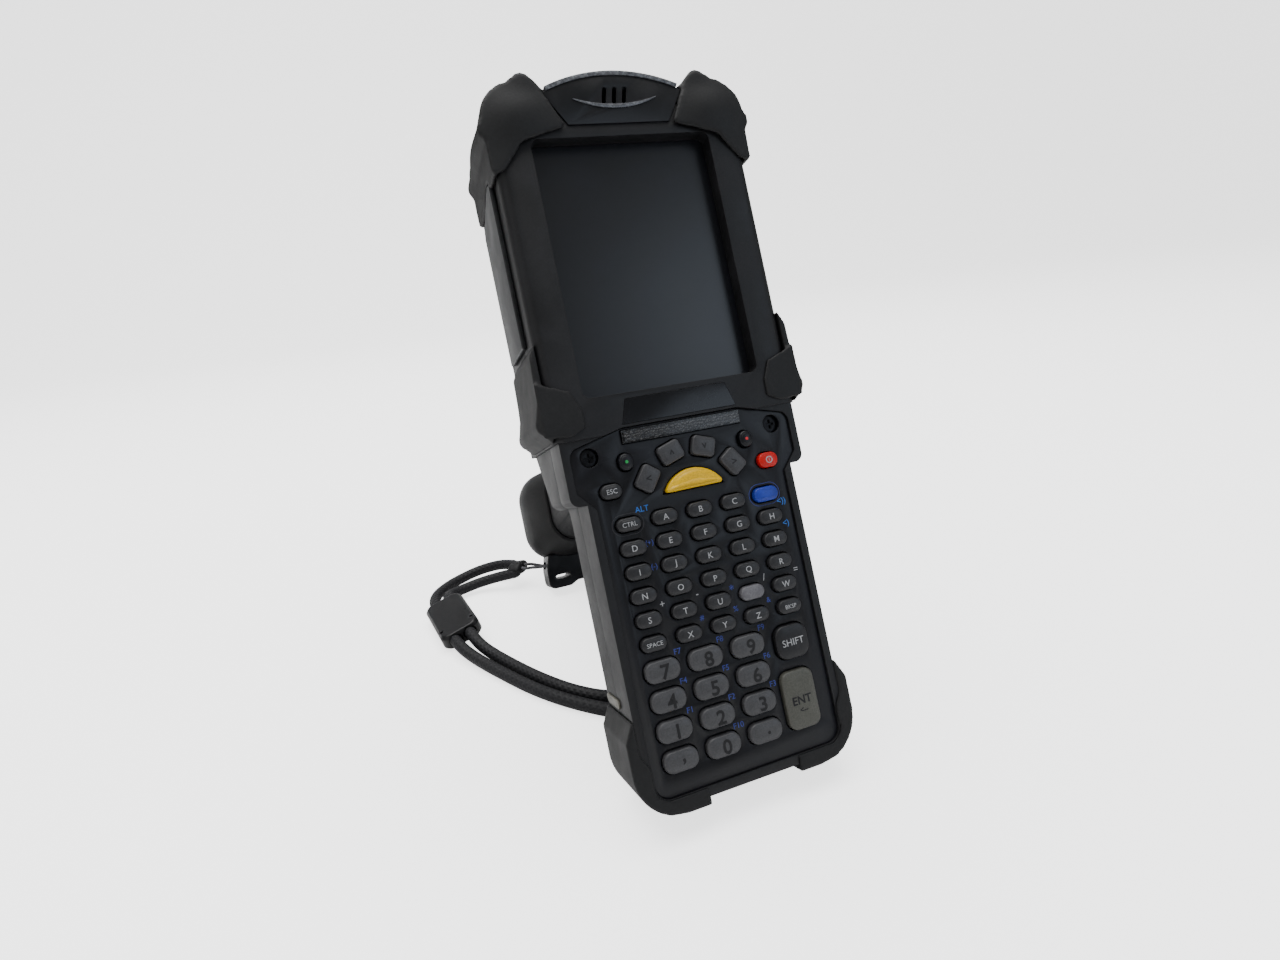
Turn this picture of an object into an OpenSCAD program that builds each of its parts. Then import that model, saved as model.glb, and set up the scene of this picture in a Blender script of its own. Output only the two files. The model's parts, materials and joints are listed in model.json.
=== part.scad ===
// Rugged pistol-grip data collector, standing on its tail and on the end of its grip.
//
// The device is drawn in its own frame: x across the face, y along the body towards the
// head, z out of the face, with the origin on the key tops at the middle of the letter keys.
// place() then leans it back on the table. The strap is drawn in the table's frame.

/* [Stance] */
// Angle of the body above the table, degrees
tilt = 70; // [69:0.5:71]

/* [Body] */
// Width of the head's shell
head_w = 84; // [82:1:86]
// Width of the tail's shell
tail_w = 71; // [70:1:72]
// Top end of the head, from the middle of the letter keys
head_top = 150; // [149:0.5:151]
// Lower end of the head
head_low = 47; // [46.5:0.5:47.5]
// Lower end of the tail
tail_low = -69; // [-70:0.5:-68]
// Depth of the head behind the key tops
head_deep = 42; // [41:0.5:43]
// Depth of the tail behind the key tops
tail_deep = 28; // [27:0.5:29]
// Depth of the parting line between the two shells
part_deep = 15; // [14:0.5:16]
// Wall of the moulded shells
wall = 2.5; // [2.2:0.1:2.8]

/* [Display] */
// Width of the display window
window_w = 60.4; // [58:0.2:62]
// Height of the display window
window_h = 81.5; // [79:0.5:83]
// Middle of the display window along the body
window_y = 99.8; // [99:0.2:100.4]
// Depth of the glass below the key tops
glass_deep = 5.6; // [5.2:0.1:6]

/* [Keypad] */
// Pitch of the key columns
pitch_x = 12; // [11.6:0.1:12.2]
// Pitch of the letter rows
pitch_y = 7.5; // [7.3:0.1:7.6]
// Depth of the keypad's face below the key tops
face_deep = 1.8; // [1.5:0.1:2]
// Gap round each key
key_gap = 0.35; // [0.3:0.05:0.4]
// Travel of a key
key_travel = 0.8; // [0.6:0.1:0.8]

/* [Grip] */
// Lean of the grip towards the tail, degrees
grip_lean = 11.5; // [11:0.5:12]
// Width of the grip
grip_w = 33; // [32:0.5:34]
// Depth of the grip, front to back
grip_d = 38; // [37:0.5:39]
// Depth of the grip's foot below the key tops
foot_deep = 193; // [191:1:195]
// Width of the base boot
base_w = 54; // [52:1:56]
// Trigger travel, degrees
trigger_travel = 7; // [5:1:7]

/* [Strap] */
// Diameter of the braided cord
cord_d = 5.5; // [5:0.1:5.5]
// Diameter of the string
string_d = 1.6; // [1.4:0.1:1.6]

/* [Hidden] */

$fn = 48;
eps = 0.01;
reach = 200;

// Heel of the tail boots, which stands on the table
heel_y = -71.5;
heel_z = -28.5;
stand_z = -(heel_y * sin(tilt) + heel_z * cos(tilt));
stand_y = -87;

// Keypad face, key flanges and the parts below them
face_z = -face_deep;
keypad_z = -6;
flange_z = keypad_z - 1.2;
ear_w = 81;
ear_low = 27;

// Grip frame: origin on its axis behind the head, z up the grip towards the head
grip_y = 54;
grip_z = -40;
shell_end = -146;
cell_top = -50;
pivot_y = 14;
pivot_z = -12;
pin_r = 1.5;
run_gap = 0.05;
base_y = 24.5;
base_d = 49;

// Lanyard bracket: its toe reaches the table just as the heel does
toe_y = -14;
toe_z = -(stand_z + toe_y * sin(tilt)) / cos(tilt);
bracket_top = -172;

// Letter and digit keys: width and height of a cap, then the digit columns and rows
letter_size = [8.4, 4.6];
digit_size = [11.6, 6.8];
digit_x = [-23, -8.3, 6.6];
digit_y = [-27.4, -36.7, -46, -55.3];

// Special keys: [x, y, width, height]
esc_at = [-27.4, 29.7, 6.8, 4.6];
power_at = [27.3, 29.6, 7, 5];
ctrl_at = [-24, 18.75, 8, 4.2];
function_at = [24, 18.75, 8.8, 4.8];
shift_at = [22.1, -30, 11.6, 11];
enter_at = [21, -48.8, 11.6, 19];
dot_x = 20.9;
dot_y = 37.8;
dot_size = [4.6, 5.4];

// Scan key: a segment of a circle, with the arrow keys on a ring round it
scan_half = 10.3;
scan_rise = 6.4;
scan_y = 25.7;
scan_r = (scan_half * scan_half + scan_rise * scan_rise) / (2 * scan_rise);
arrow_r = 18.4;
arrow_size = [8, 6.4];
arrow_angles = [144, 108, 72, 36];

// ---------------------------------------------------------------- shared shapes

// Leans the device's own frame back on the table
module place() {
    translate([0, stand_y, stand_z]) rotate([tilt, 0, 0]) children();
}

// Carries the grip's frame into the device's frame
module on_grip() {
    translate([0, grip_y, grip_z]) rotate([-grip_lean, 0, 0]) children();
}

// A prism of the 2D children from z = lo to z = hi
module slab(lo, hi) {
    translate([0, 0, lo]) linear_extrude(hi - lo) children();
}

// A prism of a (y, z) outline that runs across x = -half..half
module across(half) {
    rotate([90, 0, 90]) translate([0, 0, -half]) linear_extrude(2 * half) children();
}

// A box given by its low and high corners
module block(lo, hi) {
    translate(lo) cube([for (i = [0:2]) hi[i] - lo[i]]);
}

// A rectangle with round corners, centred
module rounded(w, h, r) {
    square([w - 2 * r, h], center = true);
    square([w, h - 2 * r], center = true);
    for (x = [-1, 1], y = [-1, 1])
        translate([x * (w / 2 - r), y * (h / 2 - r)]) circle(r);
}

// A pill: a rectangle whose short ends are half circles
module pill(size) {
    long = max(size[0], size[1]);
    wide = min(size[0], size[1]);
    turn = size[0] > size[1] ? 0 : 90;
    rotate(turn) {
        square([long - wide, wide], center = true);
        for (x = [-1, 1]) translate([x * (long - wide) / 2, 0]) circle(wide / 2);
    }
}

// Points on an arc from angle a to angle b
function arc(c, r, a, b, n = 16) =
    [for (i = [0:n]) c + r * [cos(a + (b - a) * i / n), sin(a + (b - a) * i / n)]];

// ---------------------------------------------------------------- body outlines

module head_2d(grow = 0) {
    mid = (head_top + head_low) / 2;
    translate([0, mid]) rounded(head_w + 2 * grow, head_top - head_low + 2 * grow, 14 + grow);
    translate([-head_w / 2 - grow, head_low - grow]) square([head_w + 2 * grow, 24]);
}

module tail_2d(grow = 0) {
    translate([0, (tail_low + 50) / 2])
        rounded(tail_w + 2 * grow, 50 - tail_low + 2 * grow, 8 + grow);
    translate([0, (ear_low + 50) / 2]) rounded(ear_w + 2 * grow, 50 - ear_low + 2 * grow, 3);
}

// Keypad module: narrow at the tail, with two ears and an arched top edge
module keypad_2d(grow = 0) {
    half = 32.8 + grow;
    ear = 38 + grow;
    low = -65.8 - grow;
    polygon(concat(
        arc([half - 5, low + 5], 5, -90, 0, 8),
        [[half, 25]],
        [[ear, 31]],
        arc([ear - 4, 41 + grow], 4, 0, 60, 8),
        [[20, 48.4 + grow], [-20, 48.4 + grow]],
        arc([4 - ear, 41 + grow], 4, 120, 180, 8),
        [[-ear, 31]],
        [[-half, 25]],
        arc([5 - half, low + 5], 5, 180, 270, 8)));
}

// Arched top cap between the two top boots
cap_half = 23.5;
cap_low = 144.4;
arch_r = 55;
arch_y = 160 - arch_r;
module cap_2d(grow = 0) {
    span = asin((cap_half + grow) / (arch_r + grow));
    polygon(concat([[-17 - grow, cap_low - grow], [17 + grow, cap_low - grow]],
        arc([0, arch_y], arch_r + grow, 90 - span, 90 + span, 24)));
}

// Side view of the rear shell: deep head, shallow tail, a ramp between
module back_profile(inset = 0) {
    polygon([[tail_low + inset, -part_deep], [tail_low + inset, 4 - tail_deep + inset],
        [tail_low + 4, inset - tail_deep], [24, inset - tail_deep],
        [48, inset - head_deep], [head_top - 5 - inset, inset - head_deep],
        [head_top - inset, 5 - head_deep], [head_top - inset, -part_deep]]);
}

// ---------------------------------------------------------------- keys

module key_sheet(at) translate([at[0], at[1]]) pill([at[2], at[3]]);

module scan_2d() {
    a = asin(scan_half / scan_r);
    translate([0, scan_y + scan_rise - scan_r]) polygon(arc([0, 0], scan_r, 90 - a, 90 + a, 24));
}

module arrow_2d(i) {
    translate([0, scan_y + scan_rise - scan_r])
        rotate(arrow_angles[i]) translate([arrow_r, 0])
            rounded(arrow_size[1], arrow_size[0], 1.4);
}

module shift_2d() translate([shift_at[0], shift_at[1]]) rounded(shift_at[2], shift_at[3], 3.6);

module enter_2d() translate([enter_at[0], enter_at[1]]) rounded(enter_at[2], enter_at[3], 3);

module dots_2d() for (x = [-dot_x, dot_x]) translate([x, dot_y]) pill(dot_size);

// Letter rows count from the top; the first holds three letters between two special keys
module letters_2d(row) {
    columns = row == 1 ? [-1, 0, 1] : [-2, -1, 0, 1, 2];
    for (c = columns) translate([c * pitch_x, (3.5 - row) * pitch_y]) pill(letter_size);
}

module digits_2d(row) {
    for (x = digit_x) translate([x, digit_y[row - 1]]) rounded(digit_size[0], digit_size[1], 3);
}

// One moving key group: caps that stand in the keypad's holes, and the flange that holds
// them from behind
module caps() {
    slab(keypad_z - 0.2, 0) children();
}

module flange(size, at) {
    translate([at[0], at[1], flange_z]) linear_extrude(1.01)
        square([size[0] + 1.4, size[1] + 1.2], center = true);
}

module single_key(at) {
    place() {
        caps() key_sheet(at);
        flange([at[2], at[3]], at);
    }
}

module arrow_key(i) {
    place() {
        caps() arrow_2d(i);
        slab(flange_z, keypad_z - 0.19)
            translate([0, scan_y + scan_rise - scan_r]) rotate(arrow_angles[i])
                translate([arrow_r, 0]) square([arrow_size[1] + 1, arrow_size[0] + 1], center = true);
    }
}

// A row of keys on one carrier bar
module key_row(x_lo, x_hi, y, height) {
    place() {
        caps() children();
        block([x_lo, y - height / 2, flange_z], [x_hi, y + height / 2, keypad_z - 0.19]);
    }
}

module letter_row(row) {
    half = row == 1 ? 16.8 : 28.8;
    color("#3a3a3c") key_row(-half, half, (3.5 - row) * pitch_y, 5.8) letters_2d(row);
}

module digit_row(row) {
    color("#55555a") key_row(-29.4, 13, digit_y[row - 1], 8) digits_2d(row);
}

module scan_key() color("#d9a010") place() {
    caps() scan_2d();
    block([-9, scan_y - 0.5, flange_z], [9, scan_y + 5.4, keypad_z - 0.19]);
}

module power_key() color("#b5222a") single_key(power_at);
module function_key() color("#2b3f9b") single_key(function_at);
module esc_key() color("#333335") single_key(esc_at);
module ctrl_key() color("#333335") single_key(ctrl_at);
module arrow_left_key() color("#4a4a4c") arrow_key(0);
module arrow_up_key() color("#4a4a4c") arrow_key(1);
module arrow_down_key() color("#4a4a4c") arrow_key(2);
module arrow_right_key() color("#4a4a4c") arrow_key(3);

module dot_keys() color("#2a2a2c") place() {
    caps() dots_2d();
    // its bar passes above the flanges of the arrow keys
    bar_y = 43.4;
    block([-dot_x - 2.5, bar_y, flange_z], [dot_x + 2.5, bar_y + 2.2, keypad_z - 0.19]);
    for (x = [-dot_x, dot_x])
        block([x - 2.5, dot_y - 3, flange_z], [x + 2.5, bar_y + eps, keypad_z - 0.19]);
}

module shift_key() color("#2e2e30") place() {
    caps() shift_2d();
    flange([shift_at[2], shift_at[3]], shift_at);
}

module enter_key() color("#4c4c48") place() {
    caps() enter_2d();
    flange([enter_at[2], enter_at[3] - 1], enter_at);
}

// Every key's outline, for the holes in the keypad's face
module key_holes() {
    slab(keypad_z - 1, 0) {
        for (row = [1:6]) {
            columns = row == 1 ? [-1, 0, 1] : [-2, -1, 0, 1, 2];
            for (c = columns) translate([c * pitch_x, (3.5 - row) * pitch_y])
                pill(letter_size + 2 * key_gap * [1, 1]);
        }
        for (x = digit_x, y = digit_y) translate([x, y])
            rounded(digit_size[0] + 2 * key_gap, digit_size[1] + 2 * key_gap, 3 + key_gap);
        for (at = [esc_at, power_at, ctrl_at, function_at])
            translate([at[0], at[1]]) pill([at[2], at[3]] + 2 * key_gap * [1, 1]);
        for (x = [-dot_x, dot_x]) translate([x, dot_y]) pill(dot_size + 2 * key_gap * [1, 1]);
        translate([shift_at[0], shift_at[1]])
            rounded(shift_at[2] + 2 * key_gap, shift_at[3] + 2 * key_gap, 3.6 + key_gap);
        translate([enter_at[0], enter_at[1]])
            rounded(enter_at[2] + 2 * key_gap, enter_at[3] + 2 * key_gap, 3 + key_gap);
        for (a = arrow_angles) translate([0, scan_y + scan_rise - scan_r]) rotate(a)
            translate([arrow_r, 0])
                rounded(arrow_size[1] + 2 * key_gap, arrow_size[0] + 2 * key_gap, 1.4 + key_gap);
        translate([0, scan_y + scan_rise - scan_r]) difference() {
            circle(scan_r + key_gap);
            translate([-reach / 2, scan_r - scan_rise - key_gap - reach]) square(reach);
        }
    }
}

// ---------------------------------------------------------------- shells

rear_screws = [[-36.4, 138], [36.4, 138], [-36.4, 62], [36.4, 62], [-27, -58], [27, -58]];
keypad_screws = [[-31.8, 41.2], [31.8, 41.2]];
grip_screws = [[-11, -20], [-11, -41]];
screw_seat = 1;
head_r = 2.7;
shank_r = 1.5;
post_r = 2.9;
rib_top = -12.8;

module front_housing() color("#1d1d1f") place() {
    difference() {
        union() {
            slab(-part_deep, 0) head_2d();
            slab(-part_deep, -1) tail_2d();
        }
        // room for the display stack, the boards and the keypad
        slab(-part_deep - eps, -7.4) translate([0, 98.5]) rounded(head_w - 2 * wall, 92, 10);
        slab(-7.4 - eps, 0.2 - glass_deep) translate([0, window_y]) square([69, 88.6], center = true);
        slab(-glass_deep, eps) translate([0, window_y]) rounded(window_w, window_h, 2.5);
        slab(keypad_z, eps) keypad_2d(0.1);
        slab(-part_deep - eps, keypad_z + eps) translate([0, -13.2]) square([63.6, 102.4], center = true);
        slab(-part_deep - eps, keypad_z + eps) translate([0, 45]) square([58.2, 24], center = true);
        for (p = keypad_screws) translate([p[0], p[1], -11]) cylinder(h = 6, r = shank_r + run_gap);
        // seats of the nameplate and the cap
        slab(-0.6, eps) nameplate_2d(0.1);
        slab(-part_deep - eps, eps) cap_2d(0.1);
    }
    // posts that the rear screws bite into; the tail's two hang from a rib under the board
    for (p = rear_screws) {
        deep = p[1] > 0 ? head_deep : tail_deep;
        top = p[1] > 0 ? -7.3 : rib_top;
        translate([p[0], p[1], -deep + wall + 0.1]) difference() {
            cylinder(h = top + deep - wall - 0.1, r = post_r);
            translate([0, 0, -1]) cylinder(h = 8, r = shank_r + run_gap);
        }
    }
    block([-32.5, -61, -part_deep], [32.5, -55, rib_top]);
}

module rear_housing() color("#1b1b1d") place() {
    difference() {
        intersection() {
            across(reach / 4) back_profile();
            union() {
                slab(-reach / 4, -part_deep - eps) head_2d();
                slab(-tail_deep - 14, -part_deep - eps) tail_2d();
            }
        }
        intersection() {
            across(reach / 4) back_profile(wall);
            union() {
                slab(-reach / 4, 1) translate([0, 98.5]) rounded(head_w - 2 * wall, 98, 10);
                slab(-reach / 4, 1) translate([0, -7]) square([tail_w - 2 * wall, 119], center = true);
            }
        }
        // scan window, cradle connector and screw holes
        block([-20.2, 140, -36.2], [20.2, 152, -20.8]);
        block([-14.2, -72, -24.2], [14.2, -58, -part_deep]);
        for (p = rear_screws) {
            deep = p[1] > 0 ? head_deep : tail_deep;
            translate([p[0], p[1], -deep - eps]) cylinder(h = 8, r = shank_r + run_gap);
            translate([p[0], p[1], -deep - eps]) cylinder(h = 1.6, r = head_r + 0.1);
        }
        // cable way from the head into the grip
        block([-8, 50, -head_deep - 1], [8, 66, -head_deep + wall + 1]);
    }
}

module keypad_housing() color("#1a1a22") place() {
    difference() {
        slab(keypad_z, face_z) keypad_2d();
        key_holes();
        slab(-4.2, 0) translate([0, 45.55]) square([41.2, 4.5], center = true);
        for (p = keypad_screws) translate([p[0], p[1], keypad_z - eps]) {
            cylinder(h = 10, r = shank_r + run_gap);
            translate([0, 0, 1.4]) cylinder(h = 10, r = 3);
        }
    }
}

module nameplate_2d(grow = 0) {
    polygon([[-19.6 - grow, 49.4 - grow], [19.6 + grow, 49.4 - grow],
        [17.2 + grow, 57.2 + grow], [-17.2 - grow, 57.2 + grow]]);
}

module nameplate() color("#26262a") place() slab(-0.6, 0.1) nameplate_2d();

module light_bar() color("#9a9ca0") place() {
    slab(-4.1, -1) translate([0, 45.55]) square([40.8, 4.1], center = true);
    slab(-1 - eps, -0.4) translate([0, 45.55]) square([39.6, 3], center = true);
}

// ---------------------------------------------------------------- display and boards

module display_gasket() color("#101012") place() difference() {
    slab(-glass_deep, 0.2 - glass_deep) translate([0, window_y]) square([68.6, 88], center = true);
    slab(-glass_deep - 1, 1) translate([0, window_y]) square([window_w + 0.6, window_h + 0.6], center = true);
}

module display_glass() color("#22262e") place()
    slab(-1.4 - glass_deep, -glass_deep - eps)
        translate([0, window_y]) square([68.6, 88], center = true);

module lcd_module() color("#3c3f44") place()
    slab(-12.4, -1.45 - glass_deep) translate([0, window_y]) difference() {
        square([66, 85], center = true);
        for (x = [-1, 1], y = [-1, 1]) translate([x * 31, y * 40.5]) circle(1.2);
    }

module circuit_boards() color("#1f5a34") place() {
    slab(-16, -14.4) translate([0, 98]) square([58, 80], center = true);
    for (p = [[-16, 80, 16, 16], [10, 78, 12, 14], [-12, 108, 20, 12], [16, 112, 10, 18]])
        slab(-17.4, -16 + eps) translate([p[0], p[1]]) square([p[2], p[3]], center = true);
    slab(-11.4, -9.8) translate([0, -12]) square([58, 98], center = true);
    for (x = [-16, 4, 20], y = [-44, -8, 20])
        slab(-12.6, -11.4 + eps) translate([x, y]) square([8, 5], center = true);
}

// Silicone dome sheet: a pressed key's flange stops just above it
dome_gap = 0.6;
module keypad_membrane() color("#2f3136") place() {
    top = flange_z - key_travel - dome_gap;
    slab(top - 1, top) translate([0, -10]) square([58, 102], center = true);
}

module scan_window() color("#3a1214") place() block([-20, 148.2, -36], [20, 149.8, -21]);

module scan_engine() color("#8a8c90") place() {
    block([-15, 128, -36], [15, 145, -21]);
    for (x = [-8, 8]) translate([x, 144.9, -28.5]) rotate([-90, 0, 0]) cylinder(h = 2.6, r = 4);
}

// ---------------------------------------------------------------- head end

module top_cap() color("#202024") place() difference() {
    slab(-part_deep, 0.5) cap_2d();
    translate([0, 153.2, -part_deep - eps]) cylinder(h = 10, r = 5.2);
    for (x = [-3.4, 0, 3.4]) translate([x, 153.4, -8]) rotate(-14)
        slab(0, 12) pill([1.4, 5.6]);
}

module speaker() color("#2b2b2e") place() translate([0, 153.2, -13.5]) {
    cylinder(h = 6, r = 5);
    translate([0, 0, 5.9]) cylinder(h = 1.4, r1 = 4.2, r2 = 2);
}

// Silver rim along the top of the arch, so many degrees to each side of its middle
rim_span = 23.5;
rim_thick = 1.3;
module rim_2d(grow = 0) {
    span = rim_span + asin(grow / arch_r);
    polygon(concat(arc([0, arch_y], arch_r + 0.02 - grow, 90 - span, 90 + span, 24),
        arc([0, arch_y], arch_r + rim_thick + grow, 90 + span, 90 - span, 24)));
}

module cap_trim() color("#a6a8ac") place() {
    slab(-9, 0.9) rim_2d();
    // crescent below the speaker slots, thickest at its middle
    slab(0.5, 0.9) polygon(concat(arc([0, 181.6], 32.4, 244.4, 295.6, 24),
        arc([0, 196.5], 46.1, 287.7, 252.3, 24)));
}

// ---------------------------------------------------------------- rubber boots

// Corner of the head: a round pad with one bump on top and one on the side
module top_boot_2d() {
    difference() {
        union() {
            hull() {
                translate([32, 145.8]) circle(12.4);
                translate([42.8, 131]) circle(1);
                translate([22, 150]) circle(6);
            }
            hull() {
                translate([29.4, 158.2]) circle(3);
                translate([30, 150]) circle(9);
            }
            hull() {
                translate([43.6, 143.6]) circle(3);
                translate([38, 144]) circle(7);
            }
        }
        cap_2d(0.3);
        rim_2d(0.1);
        translate([-reach, 0]) square([reach + 18, 2 * reach]);
    }
}

module top_boot_lip_2d() {
    intersection() {
        top_boot_2d();
        polygon([[17.9, 143.6], [26, 160], [31, 165], [50, 165], [50, 131], [42, 128], [33, 139]]);
    }
}

module top_boot(side) color("#232325") place() mirror([side < 0 ? 1 : 0, 0, 0]) {
    difference() {
        slab(-40, 0) top_boot_2d();
        slab(-41, 1) head_2d();
        side_panel(head_w / 2 - 1, 6, 0.25);
    }
    slab(-eps, 1.1) top_boot_lip_2d();
}

module top_boot_left() top_boot(-1);
module top_boot_right() top_boot(1);

// Lower corner of the head
module shoulder_2d() {
    polygon(concat([[head_w / 2, 78]], [[44, 74]], [[44.6, 60]],
        arc([42.9, 53], 3.4, 30, -60, 8), [[head_w / 2, 47.2]]));
}

module shoulder_boot(side) color("#232325") place() mirror([side < 0 ? 1 : 0, 0, 0]) {
    slab(-36, 0) shoulder_2d();
    slab(-eps, 0.9) polygon([[44.6, 66], [44.8, 49], [36.4, 48], [31.4, 50.4], [31.4, 56], [34, 62]]);
}

module shoulder_boot_left() shoulder_boot(-1);
module shoulder_boot_right() shoulder_boot(1);

// Corner of the tail: it wraps the side, the end and the heel
module tail_boot_2d(out = 3.6) {
    half = tail_w / 2;
    polygon(concat([[16, heel_y]], [[24, heel_y]],
        arc([half + out - 15, heel_y + 15], 15, -70, 0, 10),
        [[half + out, -46], [half + 0.6, -40], [half, -40], [half, -50], [30, -60], [16, -62]]));
}

module tail_boot(side) color("#232325") place() mirror([side < 0 ? 1 : 0, 0, 0]) {
    difference() {
        slab(heel_z, -0.4) tail_boot_2d();
        slab(-tail_deep, -1) tail_2d();
        slab(-1 - eps, 1) keypad_2d(0.2);
    }
}

module tail_boot_left() tail_boot(-1);
module tail_boot_right() tail_boot(1);

// ---------------------------------------------------------------- side trim, connector, screws

// Right-hand side panel: from x, so thick, with its outline grown
module side_panel(x, thick, grow = 0) {
    translate([x, 0, 0]) rotate([90, 0, 90]) linear_extrude(thick)
        polygon([[79 - grow, grow - 10], [132 + grow, grow - 10], [133 + grow, -14],
            [127 + grow, -33 - grow], [124, -35 - grow], [79 - grow, -35 - grow]]);
}

module side_panels() color("#3b3b3d") place() for (s = [-1, 1])
    mirror([s < 0 ? 1 : 0, 0, 0]) side_panel(head_w / 2, 1.6);

// Small inlays on the sides of the tail
side_plate_size = [14, 3];
module side_plates() color("#5d5b50") place() for (s = [-1, 1])
    translate([s * tail_w / 2, -37, -19]) rotate([0, s * 90, 0]) slab(0, 0.7) pill(side_plate_size);

module io_connector() color("#2a2a2c") place() difference() {
    block([-14, -69, -24], [14, -59, -part_deep - 0.2]);
    block([-11, -70, -22.5], [11, -66, -17]);
    for (x = [-9:2:9]) translate([x, -65, -19.8]) cube([0.8, 3, 3], center = true);
}

// Pan-head screw with a cross recess; the shank runs up from the origin
module screw(length) {
    difference() {
        cylinder(h = 1.5, r = head_r);
        for (a = [0, 90]) rotate(a) cube([3, 0.7, 1.4], center = true);
    }
    translate([0, 0, 1.5 - eps]) cylinder(h = length, r = shank_r);
}

module screws() color("#77787c") place() {
    for (p = rear_screws)
        translate([p[0], p[1], p[1] > 0 ? -head_deep : -tail_deep]) screw(6);
    for (p = keypad_screws) translate([p[0], p[1], keypad_z + 1.4 + 1.5]) mirror([0, 0, 1]) screw(6);
    on_grip() for (p = grip_screws) translate([screw_seat - grip_w / 2, p[0], p[1]])
        rotate([0, 90, 0]) screw(9);
}

// ---------------------------------------------------------------- grip

module grip_solid() {
    difference() {
        on_grip() slab(shell_end, 30) rounded(grip_w, grip_d, 13);
        across(reach / 4) offset_back();
    }
}

// Middle of the grip, measured along the body, at a depth z
function grip_mid(z) = grip_y + (z - grip_z) * tan(grip_lean);

// Everything in front of the rear shell's outer face
module offset_back() {
    polygon([[tail_low, 20], [tail_low, -tail_deep], [24, -tail_deep], [48, -head_deep],
        [head_top, -head_deep], [head_top, 20]]);
}

module grip_shell(side) {
    difference() {
        grip_solid();
        translate([side < 0 ? 0 : -reach, -reach / 2, -reach - 20]) cube([reach, reach * 2, reach + 20]);
        on_grip() {
            slab(shell_end - 1, -7) rounded(grip_w - 5.2, grip_d - 5.2, 10.4);
            slab(-49.4, -5) translate([0, 17]) square([15.6, 16], center = true);
            translate([-15, pivot_y, pivot_z]) rotate([0, 90, 0]) cylinder(h = 30, r = pin_r + 0.02);
            for (p = grip_screws) translate([-grip_w / 2 - eps, p[0], p[1]]) rotate([0, 90, 0]) {
                cylinder(h = 8, r = shank_r + run_gap);
                cylinder(h = screw_seat + 1.5 + 2 * eps, r = head_r + 0.1);
            }
        }
    }
}

// Posts on the right shell that the grip's screws bite into
module grip_posts() {
    on_grip() for (p = grip_screws) translate([-8, p[0], p[1]]) rotate([0, 90, 0]) difference() {
        cylinder(h = grip_w / 2 + 8 - 2, r = 3);
        translate([0, 0, -1]) cylinder(h = 8, r = shank_r + run_gap);
    }
}

module grip_left() color("#2c2c2e") place() grip_shell(-1);
module grip_right() color("#2c2c2e") place() {
    grip_shell(1);
    grip_posts();
}

hub_side = 3.4;
module trigger() color("#1f1f21") place() on_grip() difference() {
    across(7.2) polygon(concat([[9.6, -8.6], [18.5, -7.6]],
        [[23.4, -16], [24.4, -24], [23.6, -34], [22.6, -41], [23.4, -46]],
        [[20.4, -48], [13.4, -47.2], [12, -30], [9.6, -17]]));
    translate([-10, pivot_y, pivot_z]) rotate([0, 90, 0]) cylinder(h = 20, r = pin_r + run_gap);
    // room for the spring behind the trigger's front skin
    block([hub_side, 9, pivot_z - 3.5], [8, pivot_y + 3.2, -8]);
}

module trigger_pin() color("#9c9ea2") place() on_grip()
    translate([-14.8, pivot_y, pivot_z]) rotate([0, 90, 0]) cylinder(h = 29.6, r = pin_r);

// Torsion spring on the pin, in the side of the trigger's hub
coil_r = 2.3;
coil_wire = 0.45;
module trigger_spring() color("#85878b") place() on_grip()
    translate([hub_side + 0.6, pivot_y, pivot_z]) rotate([0, 90, 0]) {
        for (i = [0:3]) translate([0, 0, i * 0.95])
            rotate_extrude() translate([coil_r, 0]) circle(coil_wire);
        translate([0.4, -coil_r, 1.4]) rotate([0, 90, 0]) cylinder(h = 2.5, r = 0.4);
    }

// Microswitch whose plunger ends just short of the trigger's back when it is pulled
switch_z = -38;
switch_front = 2.5;
trigger_back = 12.6;
module trigger_switch() color("#303236") place() on_grip() {
    pulled = trigger_back - (pivot_z - switch_z) * tan(trigger_travel);
    block([-5, -6, -44], [5, switch_front, -30]);
    translate([0, switch_front - 0.1, switch_z]) rotate([-90, 0, 0])
        cylinder(h = pulled - dome_gap - switch_front, r = 1.6);
}

module base_outer() {
    hull() {
        slab(-foot_deep, -foot_deep + 10) translate([0, base_y]) rounded(base_w, base_d, 16);
        slab(-foot_deep + 18, -foot_deep + 19) translate([0, base_y + 0.8]) rounded(base_w - 2, base_d - 1, 16);
        slab(-161, -160) translate([0, grip_mid(-161)]) rounded(grip_w + 3, grip_d + 4, 14);
    }
}

latch_half = 9;
latch_back = base_y + base_d / 2 - 2.2;
module base_boot() color("#262628") place() difference() {
    base_outer();
    on_grip() slab(-170, -100) rounded(grip_w + 0.1, grip_d + 0.1, 13.05);
    block([-latch_half - 0.4, latch_back - 1.6, -188.4], [latch_half + 0.4, 60, -178.2]);
}

module battery_pack() color("#18181a") place() {
    on_grip() slab(shell_end - 0.4, cell_top) rounded(grip_w - 6, grip_d - 6, 10.4);
    intersection() {
        on_grip() slab(-166, shell_end - 0.4 + eps) rounded(grip_w - 0.7, grip_d - 0.7, 12.6);
        block([-30, -20, 0.8 - foot_deep], [30, 80, 0]);
    }
}

module battery_latch() color("#3a3a3c") place() {
    block([-latch_half, latch_back, -188], [latch_half, latch_back + 3.2, -178.6]);
    for (z = [-186.3:2:-180.3])
        block([-7, latch_back + 3.1, z - 0.4], [7, latch_back + 3.7, z + 0.4]);
}

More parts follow.
